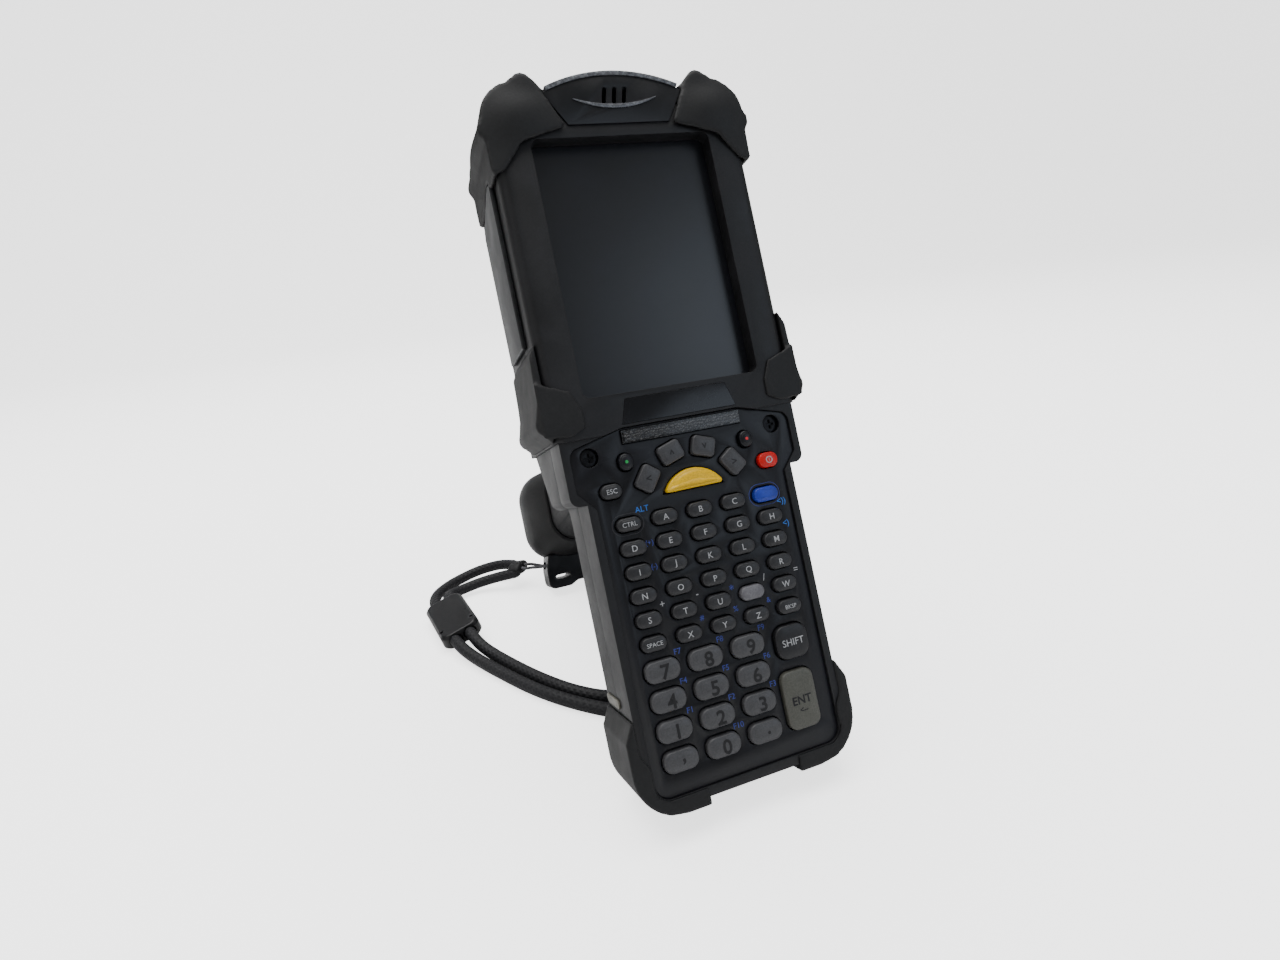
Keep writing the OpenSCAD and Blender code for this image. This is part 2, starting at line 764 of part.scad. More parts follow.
// Bracket at the foot of the grip, with an eye for the string and a slot on each side
eye = [-18.5, -1.5, -181.4];
eye_size = [7.6, 3.6];
module strap_anchor() color("#161618") place() difference() {
    slab(toe_z, bracket_top) polygon(concat(
        [[-20.5, 4], [-22.5, -4]],
        arc([-19.5, toe_y + 3.2], 3.2, 170, 270, 6),
        [[-11, toe_y], [-7, toe_y + 2], [7, toe_y + 2], [11, toe_y]],
        arc([19.5, toe_y + 3.2], 3.2, 270, 370, 6),
        [[22.5, -4], [20.5, 4]]));
    base_outer();
    for (x = [-1, 1]) translate([x * 14.5, -8.2, -190]) slab(0, 40) pill([8, 2.2]);
    translate([-30, eye[1], eye[2]]) rotate([0, 90, 0]) linear_extrude(14) pill(eye_size);
}

// ---------------------------------------------------------------- wrist strap, in the table's frame

// String: out of the bracket's eye to the sewn end of the cord, and back
string_route = [[-17, 80.8, 14.2], [-21, 81, 14.2], [-25, 83.2, 13.6], [-28.6, 86.4, 12.8], [-31.2, 88.4, 12.2],
    [-32.8, 90.8, 11.9], [-31.8, 93.4, 12.1], [-29, 93, 12.4], [-26.6, 90.2, 12.8], [-24, 87.2, 12.8],
    [-21.4, 85.2, 12.7], [-17, 85, 12.7]];

// Braided cord: down to the table, through the slider, round behind the tail, and back
loop_route = [[-33.5, 96.4, 11.6], [-42, 108.4, 9], [-53, 114.4, 6], [-64, 112.9, 4.2], [-73, 106.4, 4],
    [-79.6, 96.4, 4.6], [-81.6, 83.4, 5.5], [-78.6, 59.9, 5.5], [-75.8, 37.9, 5.5], [-70, 23.4, 3.8],
    [-59.6, 3.4, 3], [-49.5, -14.6, 3], [-38, -30.1, 3], [-24.5, -43.6, 3], [-9, -53.1, 3],
    [7, -56.6, 3], [19, -50.6, 3], [22, -39.6, 3], [14, -31.1, 3], [0, -31.1, 3],
    [-13, -34.1, 3], [-24, -33.1, 3], [-34, -24.6, 3], [-43.5, -11.6, 3], [-53.5, 6.4, 3],
    [-64, 26.4, 4.6], [-68.6, 38.9, 7.2], [-71.4, 60.9, 7.5], [-74.3, 83.4, 7.2], [-72.4, 92.4, 5.4],
    [-66, 97.9, 4.2], [-56, 99.4, 5.2], [-45, 95.9, 7.6], [-34, 89.6, 10.4]];

// A point on the smooth curve through p at place t, by the Catmull-Rom rule
function on_curve(p, i, t) =
    let (a = p[max(i - 1, 0)], b = p[i], c = p[i + 1], d = p[min(i + 2, len(p) - 1)])
    0.5 * (2 * b + (c - a) * t + (2 * a - 5 * b + 4 * c - d) * t * t
        + (3 * b - a - 3 * c + d) * t * t * t);

function smooth(p, n) = concat(
    [for (i = [0:len(p) - 2], j = [0:n - 1]) on_curve(p, i, j / n)], [p[len(p) - 1]]);

function unit(v) = v / norm(v);

// A tube along the points, with a ring at each one
module tube(p, r, sides = 8) {
    n = len(p);
    way = [for (i = [0:n - 1]) unit(p[min(i + 1, n - 1)] - p[max(i - 1, 0)])];
    side = [for (w = way) unit(cross(w, [0, 0, 1]))];
    rings = [for (i = [0:n - 1], k = [0:sides - 1])
        let (a = 360 * k / sides, up = cross(side[i], way[i]))
        p[i] + r * (cos(a) * side[i] + sin(a) * up)];
    faces = concat(
        [[for (k = [0:sides - 1]) k]],
        [for (i = [0:n - 2], k = [0:sides - 1])
            [i * sides + k, (i + 1) * sides + k, (i + 1) * sides + (k + 1) % sides, i * sides + (k + 1) % sides]],
        [[for (k = [sides - 1:-1:0]) (n - 1) * sides + k]]);
    polyhedron(points = rings, faces = faces);
}

module strap_string() color("#1c1c1e") tube(string_route, string_d / 2);

module strap_loop() color("#1a1a1c") tube(smooth(loop_route, 2), cord_d / 2, 10);

// Flat slider with two channels for the cord and two small holes; it lies tipped on one edge
slider_at = [-75, 60.4, 6.5];
slider_turn = [0, -15, 7.3];
module strap_slider() color("#141416") translate(slider_at) rotate(slider_turn) difference() {
    hull() {
        slab(-3.9, 3.9) rounded(17, 37, 4);
        slab(-2.4, 2.4) rounded(19.6, 39, 4.6);
    }
    for (x = [-3.75, 3.75]) translate([x, 25, 0]) rotate([90, 0, 0]) cylinder(h = 50, r = cord_d / 2 + 0.2);
    for (x = [-7.8, 7.8]) translate([x, -12, -10]) cylinder(h = 20, r = 0.9);
}

// ---------------------------------------------------------------- nodes

front_housing();
rear_housing();
keypad_housing();
keypad_membrane();
circuit_boards();
display_glass();
display_gasket();
lcd_module();
top_boot_left();
top_boot_right();
shoulder_boot_left();
shoulder_boot_right();
tail_boot_left();
tail_boot_right();
top_cap();
cap_trim();
speaker();
scan_window();
scan_engine();
light_bar();
nameplate();
side_panels();
side_plates();
io_connector();
screws();
grip_left();
grip_right();
trigger();
trigger_pin();
trigger_spring();
trigger_switch();
base_boot();
battery_pack();
battery_latch();
strap_anchor();
strap_string();
strap_loop();
strap_slider();
scan_key();
power_key();
function_key();
esc_key();
ctrl_key();
arrow_left_key();
arrow_up_key();
arrow_down_key();
arrow_right_key();
dot_keys();
shift_key();
enter_key();
letter_row(1);  // letter_row_1
letter_row(2);  // letter_row_2
letter_row(3);  // letter_row_3
letter_row(4);  // letter_row_4
letter_row(5);  // letter_row_5
letter_row(6);  // letter_row_6
digit_row(1);  // digit_row_1
digit_row(2);  // digit_row_2
digit_row(3);  // digit_row_3
digit_row(4);  // digit_row_4
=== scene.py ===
"""Rugged pistol-grip data collector: looks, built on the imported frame.

Shapes are worked out in the device's own millimetres (u across the face, v along the body
towards the head, w out of the face) and then stood on the table in metres.
"""

import json
import logging
import math
from dataclasses import dataclass, field
from enum import Enum
from typing import Any, Callable, Sequence

import bmesh
import bpy
import numpy as np
from mathutils import Matrix, Vector
from mathutils.bvhtree import BVHTree

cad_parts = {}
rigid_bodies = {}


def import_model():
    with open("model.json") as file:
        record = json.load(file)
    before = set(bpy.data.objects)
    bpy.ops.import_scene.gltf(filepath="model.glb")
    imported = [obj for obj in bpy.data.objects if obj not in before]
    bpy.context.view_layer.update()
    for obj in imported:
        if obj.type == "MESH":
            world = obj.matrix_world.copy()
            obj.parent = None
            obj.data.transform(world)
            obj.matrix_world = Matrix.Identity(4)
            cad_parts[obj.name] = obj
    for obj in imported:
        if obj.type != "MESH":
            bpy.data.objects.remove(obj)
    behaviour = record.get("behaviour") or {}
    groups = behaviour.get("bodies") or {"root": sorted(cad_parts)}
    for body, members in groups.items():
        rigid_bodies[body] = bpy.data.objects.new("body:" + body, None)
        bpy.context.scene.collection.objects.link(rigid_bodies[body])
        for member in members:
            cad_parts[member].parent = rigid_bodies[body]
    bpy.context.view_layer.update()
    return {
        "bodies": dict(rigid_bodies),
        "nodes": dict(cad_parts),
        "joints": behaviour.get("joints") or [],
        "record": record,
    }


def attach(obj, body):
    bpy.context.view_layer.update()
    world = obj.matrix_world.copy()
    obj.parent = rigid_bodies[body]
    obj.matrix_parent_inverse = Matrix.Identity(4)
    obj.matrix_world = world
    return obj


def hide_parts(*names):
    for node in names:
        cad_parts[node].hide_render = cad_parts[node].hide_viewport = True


LOG = logging.getLogger("data_collector")
MM = 0.001
Array = np.ndarray


# ---------------------------------------------------------------- stance and meshes


@dataclass(frozen=True)
class Stance:
    """How the device leans on the table, in degrees and millimetres."""

    tilt: float = 70.0
    shift_y: float = -87.0
    heel: tuple[float, float] = (-71.5, -28.5)

    def turn(self) -> tuple[float, float, float]:
        """Cosine and sine of the tilt, and the rise that brings the heel to z = 0."""
        c, s = math.cos(math.radians(self.tilt)), math.sin(math.radians(self.tilt))
        return c, s, -(self.heel[0] * s + self.heel[1] * c)

    def place(self, points: Array) -> Array:
        """Carry device points to the table.

        The device is turned about x by the tilt and raised until its heel touches z = 0.

        Args:
            points: (n, 3) device points in millimetres.

        Returns:
            (n, 3) table points in metres.
        """
        c, s, rise = self.turn()
        u, v, w = np.asarray(points, float).T
        return np.stack([u, self.shift_y + v * c - w * s, rise + v * s + w * c], 1) * MM

    def device(self, points: Array) -> Array:
        """Carry table points in metres back to device millimetres: the inverse of place."""
        c, s, rise = self.turn()
        x, y, z = (np.asarray(points, float) / MM).T
        y, z = y - self.shift_y, z - rise
        return np.stack([x, y * c + z * s, z * c - y * s], 1)


STANCE = Stance()


def make_piece(
    name: str, points: Array, faces: Sequence, finishes: Sequence["Finish"], smooth: bool = True
) -> bpy.types.Object:
    """Put table points and faces into a new mesh object at the origin.

    Args:
        name: the piece's name.
        points: (n, 3) points in metres.
        faces: tuples or an (m, k) array of corner numbers.
        finishes: the finishes of the material slots.
        smooth: whether the faces are shaded smooth.

    Returns:
        The new object, linked to the scene.
    """
    mesh = bpy.data.meshes.new(name)
    mesh.from_pydata(np.asarray(points).tolist(), [], [tuple(f) for f in faces])
    mesh.polygons.foreach_set("use_smooth", np.full(len(mesh.polygons), smooth))
    for finish in finishes:
        mesh.materials.append(finish.material())
    piece = bpy.data.objects.new(name, mesh)
    bpy.context.scene.collection.objects.link(piece)
    return piece


def grid_faces(rows: int, columns: int) -> Array:
    """Quads of a (rows, columns) grid that closes on itself along its columns."""
    i, j = np.meshgrid(np.arange(rows - 1), np.arange(columns), indexing="ij")
    k = (j + 1) % columns
    quads = np.stack([i * columns + j, i * columns + k, (i + 1) * columns + k, (i + 1) * columns + j], -1)
    return quads.reshape(-1, 4)


def end_faces(rows: int, columns: int) -> list[list[int]]:
    """The two many-sided faces that close the ends of such a grid."""
    return [list(range(columns))[::-1], list(range((rows - 1) * columns, rows * columns))]


def across(way: Array) -> tuple[Array, Array]:
    """Two unit directions across a unit direction: a level one, and one square to both."""
    side = np.cross(way, [0, 0, 1.0])
    side /= np.linalg.norm(side, axis=-1, keepdims=True)
    return side, np.cross(side, way)


def outline(hull: Array, count: int) -> tuple[Array, Array]:
    """Corner points and directions of a convex outline with rounded corners.

    For each direction round the circle, the hull point that lies furthest that way; the
    outline is that point plus the corner radius along the direction.

    Args:
        hull: (n, 2) points of the convex core.
        count: number of directions.

    Returns:
        Core points and unit directions, each (count, 2).
    """
    angle = (np.arange(count) + 0.5) * 2 * np.pi / count
    way = np.stack([np.cos(angle), np.sin(angle)], 1)
    return hull[np.argmax(way @ hull.T, axis=1)], way


def box_core(width: float, height: float, radius: float) -> Array:
    """The four corner centres of a rounded rectangle."""
    a, b = max(width / 2 - radius, 0), max(height / 2 - radius, 0)
    return np.array([[a, b], [-a, b], [-a, -b], [a, -b]])


def srgb(tone: str) -> tuple[float, float, float, float]:
    """Turn an sRGB hex tone into linear red, green, blue and alpha 1."""
    parts = [int(tone.lstrip("#")[i : i + 2], 16) / 255 for i in (0, 2, 4)]
    linear = [p / 12.92 if p <= 0.04045 else ((p + 0.055) / 1.055) ** 2.4 for p in parts]
    return (linear[0], linear[1], linear[2], 1.0)


# ---------------------------------------------------------------- finishes


def add_node(
    tree: bpy.types.NodeTree,
    kind: str,
    links: dict[str, Any] | None = None,
    values: dict[str, Any] | None = None,
    **settings: Any,
) -> bpy.types.Node:
    """Add a shader node with its settings, socket values and incoming links.

    Args:
        tree: the node tree.
        kind: the node's type name.
        links: input name to the output socket that feeds it.
        values: input name to a fixed value.
        settings: attributes of the node itself.

    Returns:
        The new node.
    """
    node = tree.nodes.new(kind)
    for key, value in settings.items():
        setattr(node, key, value)
    for key, value in (values or {}).items():
        node.inputs[key].default_value = value
    for key, socket in (links or {}).items():
        tree.links.new(socket, node.inputs[key])
    return node


def remap(
    tree: bpy.types.NodeTree, socket: bpy.types.NodeSocket, given: tuple[float, float], wanted: tuple[float, float]
) -> bpy.types.NodeSocket:
    """Carry a value from a given range to a wanted one and return the result's socket."""
    limits = {"From Min": given[0], "From Max": given[1], "To Min": wanted[0], "To Max": wanted[1]}
    return add_node(tree, "ShaderNodeMapRange", {"Value": socket}, limits).outputs["Result"]


class Pattern(Enum):
    """What a finish's fine relief looks like."""

    SPARK = "fine eroded texture of moulded plastic"
    RIBS = "fine prisms inside a clear bar"
    SMOOTH = "polished with faint smears"
    BRAID = "two families of crossing strands along a cord"
    BRUSH = "long fine lines"


@dataclass(frozen=True)
class Finish:
    """A surface finish; sizes are real millimetres."""

    name: str
    tone: str
    second_tone: str
    roughness: float
    pattern: Pattern = Pattern.SPARK
    grain_mm: float = 0.55
    relief_mm: float = 0.03
    patch_mm: float = 18.0
    smear: float = 0.08
    ior: float = 1.5
    metallic: float = 0.0
    coat: float = 0.0
    see_through: float = 0.0
    specular: float = 0.32
    # noise levels over which the tone turns to the second one, and the roughness smears: wear on most finishes;
    # painted highlights on the string, painted glints in the bar and a faint painted sheen on the glass
    second_tone_range: tuple[float, float] = (0.46, 0.74)
    smear_range: tuple[float, float] = (0.3, 0.7)
    # painted shade in the pits of the relief and painted highlight on its peaks
    pit_shade_and_peak_highlight: tuple[float, float] = (0.72, 1.18)
    # strands round a braided cord
    strands: int = 8

    def material(self) -> bpy.types.Material:
        """Build the material once and return it afterwards."""
        ready = bpy.data.materials.get(self.name)
        if ready:
            return ready
        made = bpy.data.materials.new(self.name)
        made.use_nodes = True
        tree = made.node_tree
        tree.nodes.clear()
        place = add_node(tree, "ShaderNodeTexCoord")
        where = place.outputs["UV"] if self.pattern is Pattern.BRAID else place.outputs["Object"]
        patch = {"Scale": 1 / (self.patch_mm * MM), "Detail": 5.0, "Roughness": 0.6}
        patches = add_node(tree, "ShaderNodeTexNoise", {"Vector": place.outputs["Object"]}, patch).outputs["Fac"]
        height = self._relief(tree, where)
        # patches of the second tone: wear on most finishes; painted highlights on the string, painted glints in the
        # bar and a faint painted sheen on the glass
        share = remap(tree, patches, self.second_tone_range, (0.0, 1.0))
        smears = (max(self.roughness - self.smear, 0.02), min(self.roughness + self.smear, 1.0))
        rough = remap(tree, patches, self.smear_range, smears)
        tones = {6: srgb(self.tone), 7: srgb(self.second_tone)}
        colour = add_node(tree, "ShaderNodeMix", {0: share}, tones, data_type="RGBA").outputs[2]
        # painted shade in the relief's pits and painted highlight on its peaks, multiplied into the colour
        if self.pattern in (Pattern.SPARK, Pattern.BRAID):
            shade = remap(tree, height, (0.25, 0.75), self.pit_shade_and_peak_highlight)
            colour = add_node(tree, "ShaderNodeVectorMath", {0: colour, 1: shade}, operation="MULTIPLY").outputs[0]
        depth = {"Strength": 1.0, "Distance": self.relief_mm * MM}
        bump = add_node(tree, "ShaderNodeBump", {"Height": height}, depth).outputs["Normal"]
        shader = add_node(
            tree,
            "ShaderNodeBsdfPrincipled",
            {"Base Color": colour, "Roughness": rough, "Normal": bump},
            {
                "Metallic": self.metallic,
                "IOR": self.ior,
                "Coat Weight": self.coat,
                "Coat Roughness": 0.12,
                "Transmission Weight": self.see_through,
                "Specular IOR Level": self.specular,
            },
        )
        add_node(tree, "ShaderNodeOutputMaterial", {"Surface": shader.outputs["BSDF"]})
        return made

    def _relief(self, tree: bpy.types.NodeTree, where: bpy.types.NodeSocket) -> bpy.types.NodeSocket:
        """Add the height pattern and return its output, 0 to 1."""
        scale = 1 / (self.grain_mm * MM)
        if self.pattern is Pattern.BRAID:
            # sin of (round + along) and of (round - along): the larger strand is on top
            parts = add_node(tree, "ShaderNodeSeparateXYZ", {"Vector": where})
            waves = []
            for sign in (1.0, -1.0):
                pace = {1: sign * 2 * np.pi * scale}
                along = add_node(tree, "ShaderNodeMath", {0: parts.outputs["Y"]}, pace, operation="MULTIPLY")
                both = {0: parts.outputs["X"], 2: along.outputs[0]}
                lap = {1: 2 * np.pi * self.strands}
                turned = add_node(tree, "ShaderNodeMath", both, lap, operation="MULTIPLY_ADD")
                waves.append(add_node(tree, "ShaderNodeMath", {0: turned.outputs[0]}, operation="SINE"))
            pair = {0: waves[0].outputs[0], 1: waves[1].outputs[0]}
            top = add_node(tree, "ShaderNodeMath", pair, operation="MAXIMUM")
            return remap(tree, top.outputs[0], (-1.0, 1.0), (0.0, 1.0))
        if self.pattern is Pattern.RIBS:
            cells = add_node(tree, "ShaderNodeTexVoronoi", {"Vector": where}, {"Scale": scale, "Randomness": 0.55})
            return cells.outputs["Distance"]
        if self.pattern is Pattern.BRUSH:
            drawn = {"Scale": (scale, scale * 0.04, scale * 0.04)}
            where = add_node(tree, "ShaderNodeMapping", {"Vector": where}, drawn).outputs["Vector"]
            noise = {"Scale": 1.0, "Detail": 3.0}
        else:
            noise = {"Scale": scale, "Detail": 1.0 if self.pattern is Pattern.SMOOTH else 4.0, "Roughness": 0.55}
        return add_node(tree, "ShaderNodeTexNoise", {"Vector": where}, noise).outputs["Fac"]


def key_coat(name: str, tone: str, second_tone: str, patch_mm: float = 8.0) -> Finish:
    """Hard coat over a dark moulded key."""
    return Finish(name, tone, second_tone, 0.42, grain_mm=0.5, relief_mm=0.01, patch_mm=patch_mm)


def bright_coat(name: str, tone: str, second_tone: str, patch_mm: float = 6.0) -> Finish:
    """Smoother hard coat over a brightly coloured key."""
    return Finish(name, tone, second_tone, 0.36, grain_mm=0.5, relief_mm=0.008, patch_mm=patch_mm)


def ink(name: str, tone: str, second_tone: str, roughness: float = 0.6) -> Finish:
    """Printed ink, with almost no relief of its own."""
    return Finish(name, tone, second_tone, roughness, relief_mm=0.004, patch_mm=4.0)


class Finishes:
    """Every finish of the device, named for what the real one is."""

    # Moulded polycarbonate blend: charcoal, spark-eroded, a little polished where it is held
    HOUSING = Finish("moulded_charcoal_polycarbonate", "#0f0f11", "#17171a", 0.5, relief_mm=0.035)
    # Injection-moulded elastomer: darker and duller than the shell beside it
    BOOT = Finish("moulded_black_elastomer", "#0e0e0f", "#161617", 0.6, grain_mm=0.8, relief_mm=0.04)
    # Smooth side panel: satin dark grey that takes a broad soft sheen
    PANEL = Finish("satin_grey_side_panel", "#1e1f21", "#28292b", 0.42, relief_mm=0.012)
    # Printed polycarbonate overlay of the keypad: blue-black, half gloss
    KEYPAD = Finish("satin_blue_black_keypad", "#0a0b10", "#0f1017", 0.38, grain_mm=0.6, relief_mm=0.012)
    KEY = key_coat("hard_coated_dark_key", "#262628", "#2a2a2c", 7.0)
    KEY_GREY = key_coat("hard_coated_grey_key", "#3f3f41", "#444446")
    KEY_ENTER = key_coat("hard_coated_warm_grey_key", "#4a4a44", "#50504a")
    KEY_WORN = Finish("worn_through_key", "#5c5b5f", "#6b6a6e", 0.4, grain_mm=0.5, relief_mm=0.01, patch_mm=3)
    KEY_ARROW = key_coat("hard_coated_arrow_key", "#38383a", "#3d3d3f")
    KEY_SHIFT = key_coat("hard_coated_shift_key", "#1d1d1f", "#28282a")
    YELLOW = bright_coat("hard_coated_yellow_key", "#d8ac00", "#cea200", 9.0)
    RED = bright_coat("hard_coated_red_key", "#c4140f", "#a4100c")
    BLUE = bright_coat("hard_coated_blue_key", "#22379a", "#1b2c7c")
    INK_LIGHT = ink("light_printed_ink", "#a2a3a5", "#8c8d8f")
    INK_DARK = ink("dark_printed_ink", "#141416", "#1c1c1e")
    INK_GREY = ink("grey_printed_ink", "#3b3b3e", "#333336")
    INK_BRIGHT = ink("bright_blue_printed_ink", "#2f6fc4", "#285fa8")
    INK_BLUE = ink("dim_blue_printed_ink", "#3a4690", "#303a78")
    DOT_GREEN = ink("green_printed_dot", "#1f9a4a", "#17803c", 0.5)
    DOT_RED = ink("red_printed_dot", "#c8262c", "#a81e24", 0.5)
    # Matt touch film over a dark display: a broad soft sheen and no sharp reflections; its lighter bluish patches
    # are a faint painted sheen
    GLASS = Finish(
        "matt_touch_film_on_glass", "#0d0e12", "#10121a", 0.3, Pattern.SMOOTH,
        grain_mm=40.0, relief_mm=0.0, patch_mm=60.0, smear=0.02, specular=0.5,
    )
    GASKET = Finish("black_foam_gasket", "#0d0d0e", "#141415", 0.9)
    CAP = Finish("satin_black_cap", "#0d0e11", "#141519", 0.36, relief_mm=0.01)
    # Silver lacquer with coarse flake over plastic
    TRIM = Finish(
        "flaked_silver_lacquer", "#5a5c60", "#85878b", 0.36,
        grain_mm=0.5, relief_mm=0.05, patch_mm=1.2, smear=0.12, metallic=0.55,
    )
    # Its lighter grey patches are painted glints in the prisms
    BAR = Finish(
        "clear_prismatic_bar", "#131417", "#2a2c31", 0.14, Pattern.RIBS,
        grain_mm=0.8, relief_mm=0.4, patch_mm=5.0, smear=0.05, ior=1.49, coat=0.5, see_through=0.25, specular=0.6,
    )
    PLATE = Finish(
        "blank_gloss_nameplate", "#0e0f12", "#131418", 0.24, Pattern.SMOOTH, grain_mm=30.0, relief_mm=0.0,
    )
    BEIGE = Finish("painted_contact_plate", "#65635a", "#4f4d45", 0.45, patch_mm=5)
    STEEL = Finish(
        "zinc_plated_steel", "#86888c", "#6c6e72", 0.34, Pattern.BRUSH,
        grain_mm=0.5, relief_mm=0.01, patch_mm=6.0, smear=0.1, metallic=1.0,
    )
    BLACK_SCREW = Finish(
        "black_oxide_screw", "#1b1b1d", "#2a2a2c", 0.4, Pattern.BRUSH,
        grain_mm=0.5, relief_mm=0.01, patch_mm=4.0, smear=0.1, metallic=0.8,
    )
    BOARD = Finish("green_solder_mask", "#14522a", "#1b6a36", 0.35, patch_mm=6)
    SILICONE = Finish("dark_silicone_sheet", "#26282c", "#303238", 0.7)
    LCD = Finish(
        "pressed_aluminium_frame", "#7c7f84", "#94979c", 0.4, Pattern.BRUSH,
        grain_mm=0.4, relief_mm=0.008, patch_mm=8.0, smear=0.1, metallic=1.0,
    )
    SCAN_GLASS = Finish(
        "red_scan_window", "#2a0608", "#3a0a0e", 0.06, Pattern.SMOOTH,
        grain_mm=30.0, relief_mm=0.0, patch_mm=20.0, smear=0.03, coat=0.5,
    )
    GRIP = Finish("textured_grip_shell", "#111113", "#1a1a1d", 0.58, grain_mm=0.9, relief_mm=0.07)
    TRIGGER = Finish("satin_trigger", "#1a1a1c", "#242426", 0.36, relief_mm=0.015)
    BATTERY = Finish("moulded_battery_case", "#121214", "#1a1a1c", 0.55)
    BRACKET = Finish("satin_nylon_bracket", "#0a0a0c", "#121215", 0.34, relief_mm=0.015, patch_mm=10)
    # Round braided nylon: the strands cross every 3 mm along the cord, 1.6 mm on the string
    CORD = Finish(
        "braided_black_nylon", "#101013", "#18181b", 0.62, Pattern.BRAID,
        grain_mm=3.0, relief_mm=0.16, patch_mm=25.0,
    )
    # Its much lighter patches are painted highlights along the string
    STRING = Finish(
        "braided_nylon_string", "#2e2e31", "#6a6a6e", 0.3, Pattern.BRAID,
        grain_mm=1.6, relief_mm=0.06, patch_mm=12.0,
    )
    SLEEVE = Finish("stitched_nylon_sleeve", "#0d0d0f", "#151517", 0.6, relief_mm=0.08, patch_mm=6)
    CONNECTOR = Finish("moulded_connector", "#161618", "#1e1e20", 0.4)


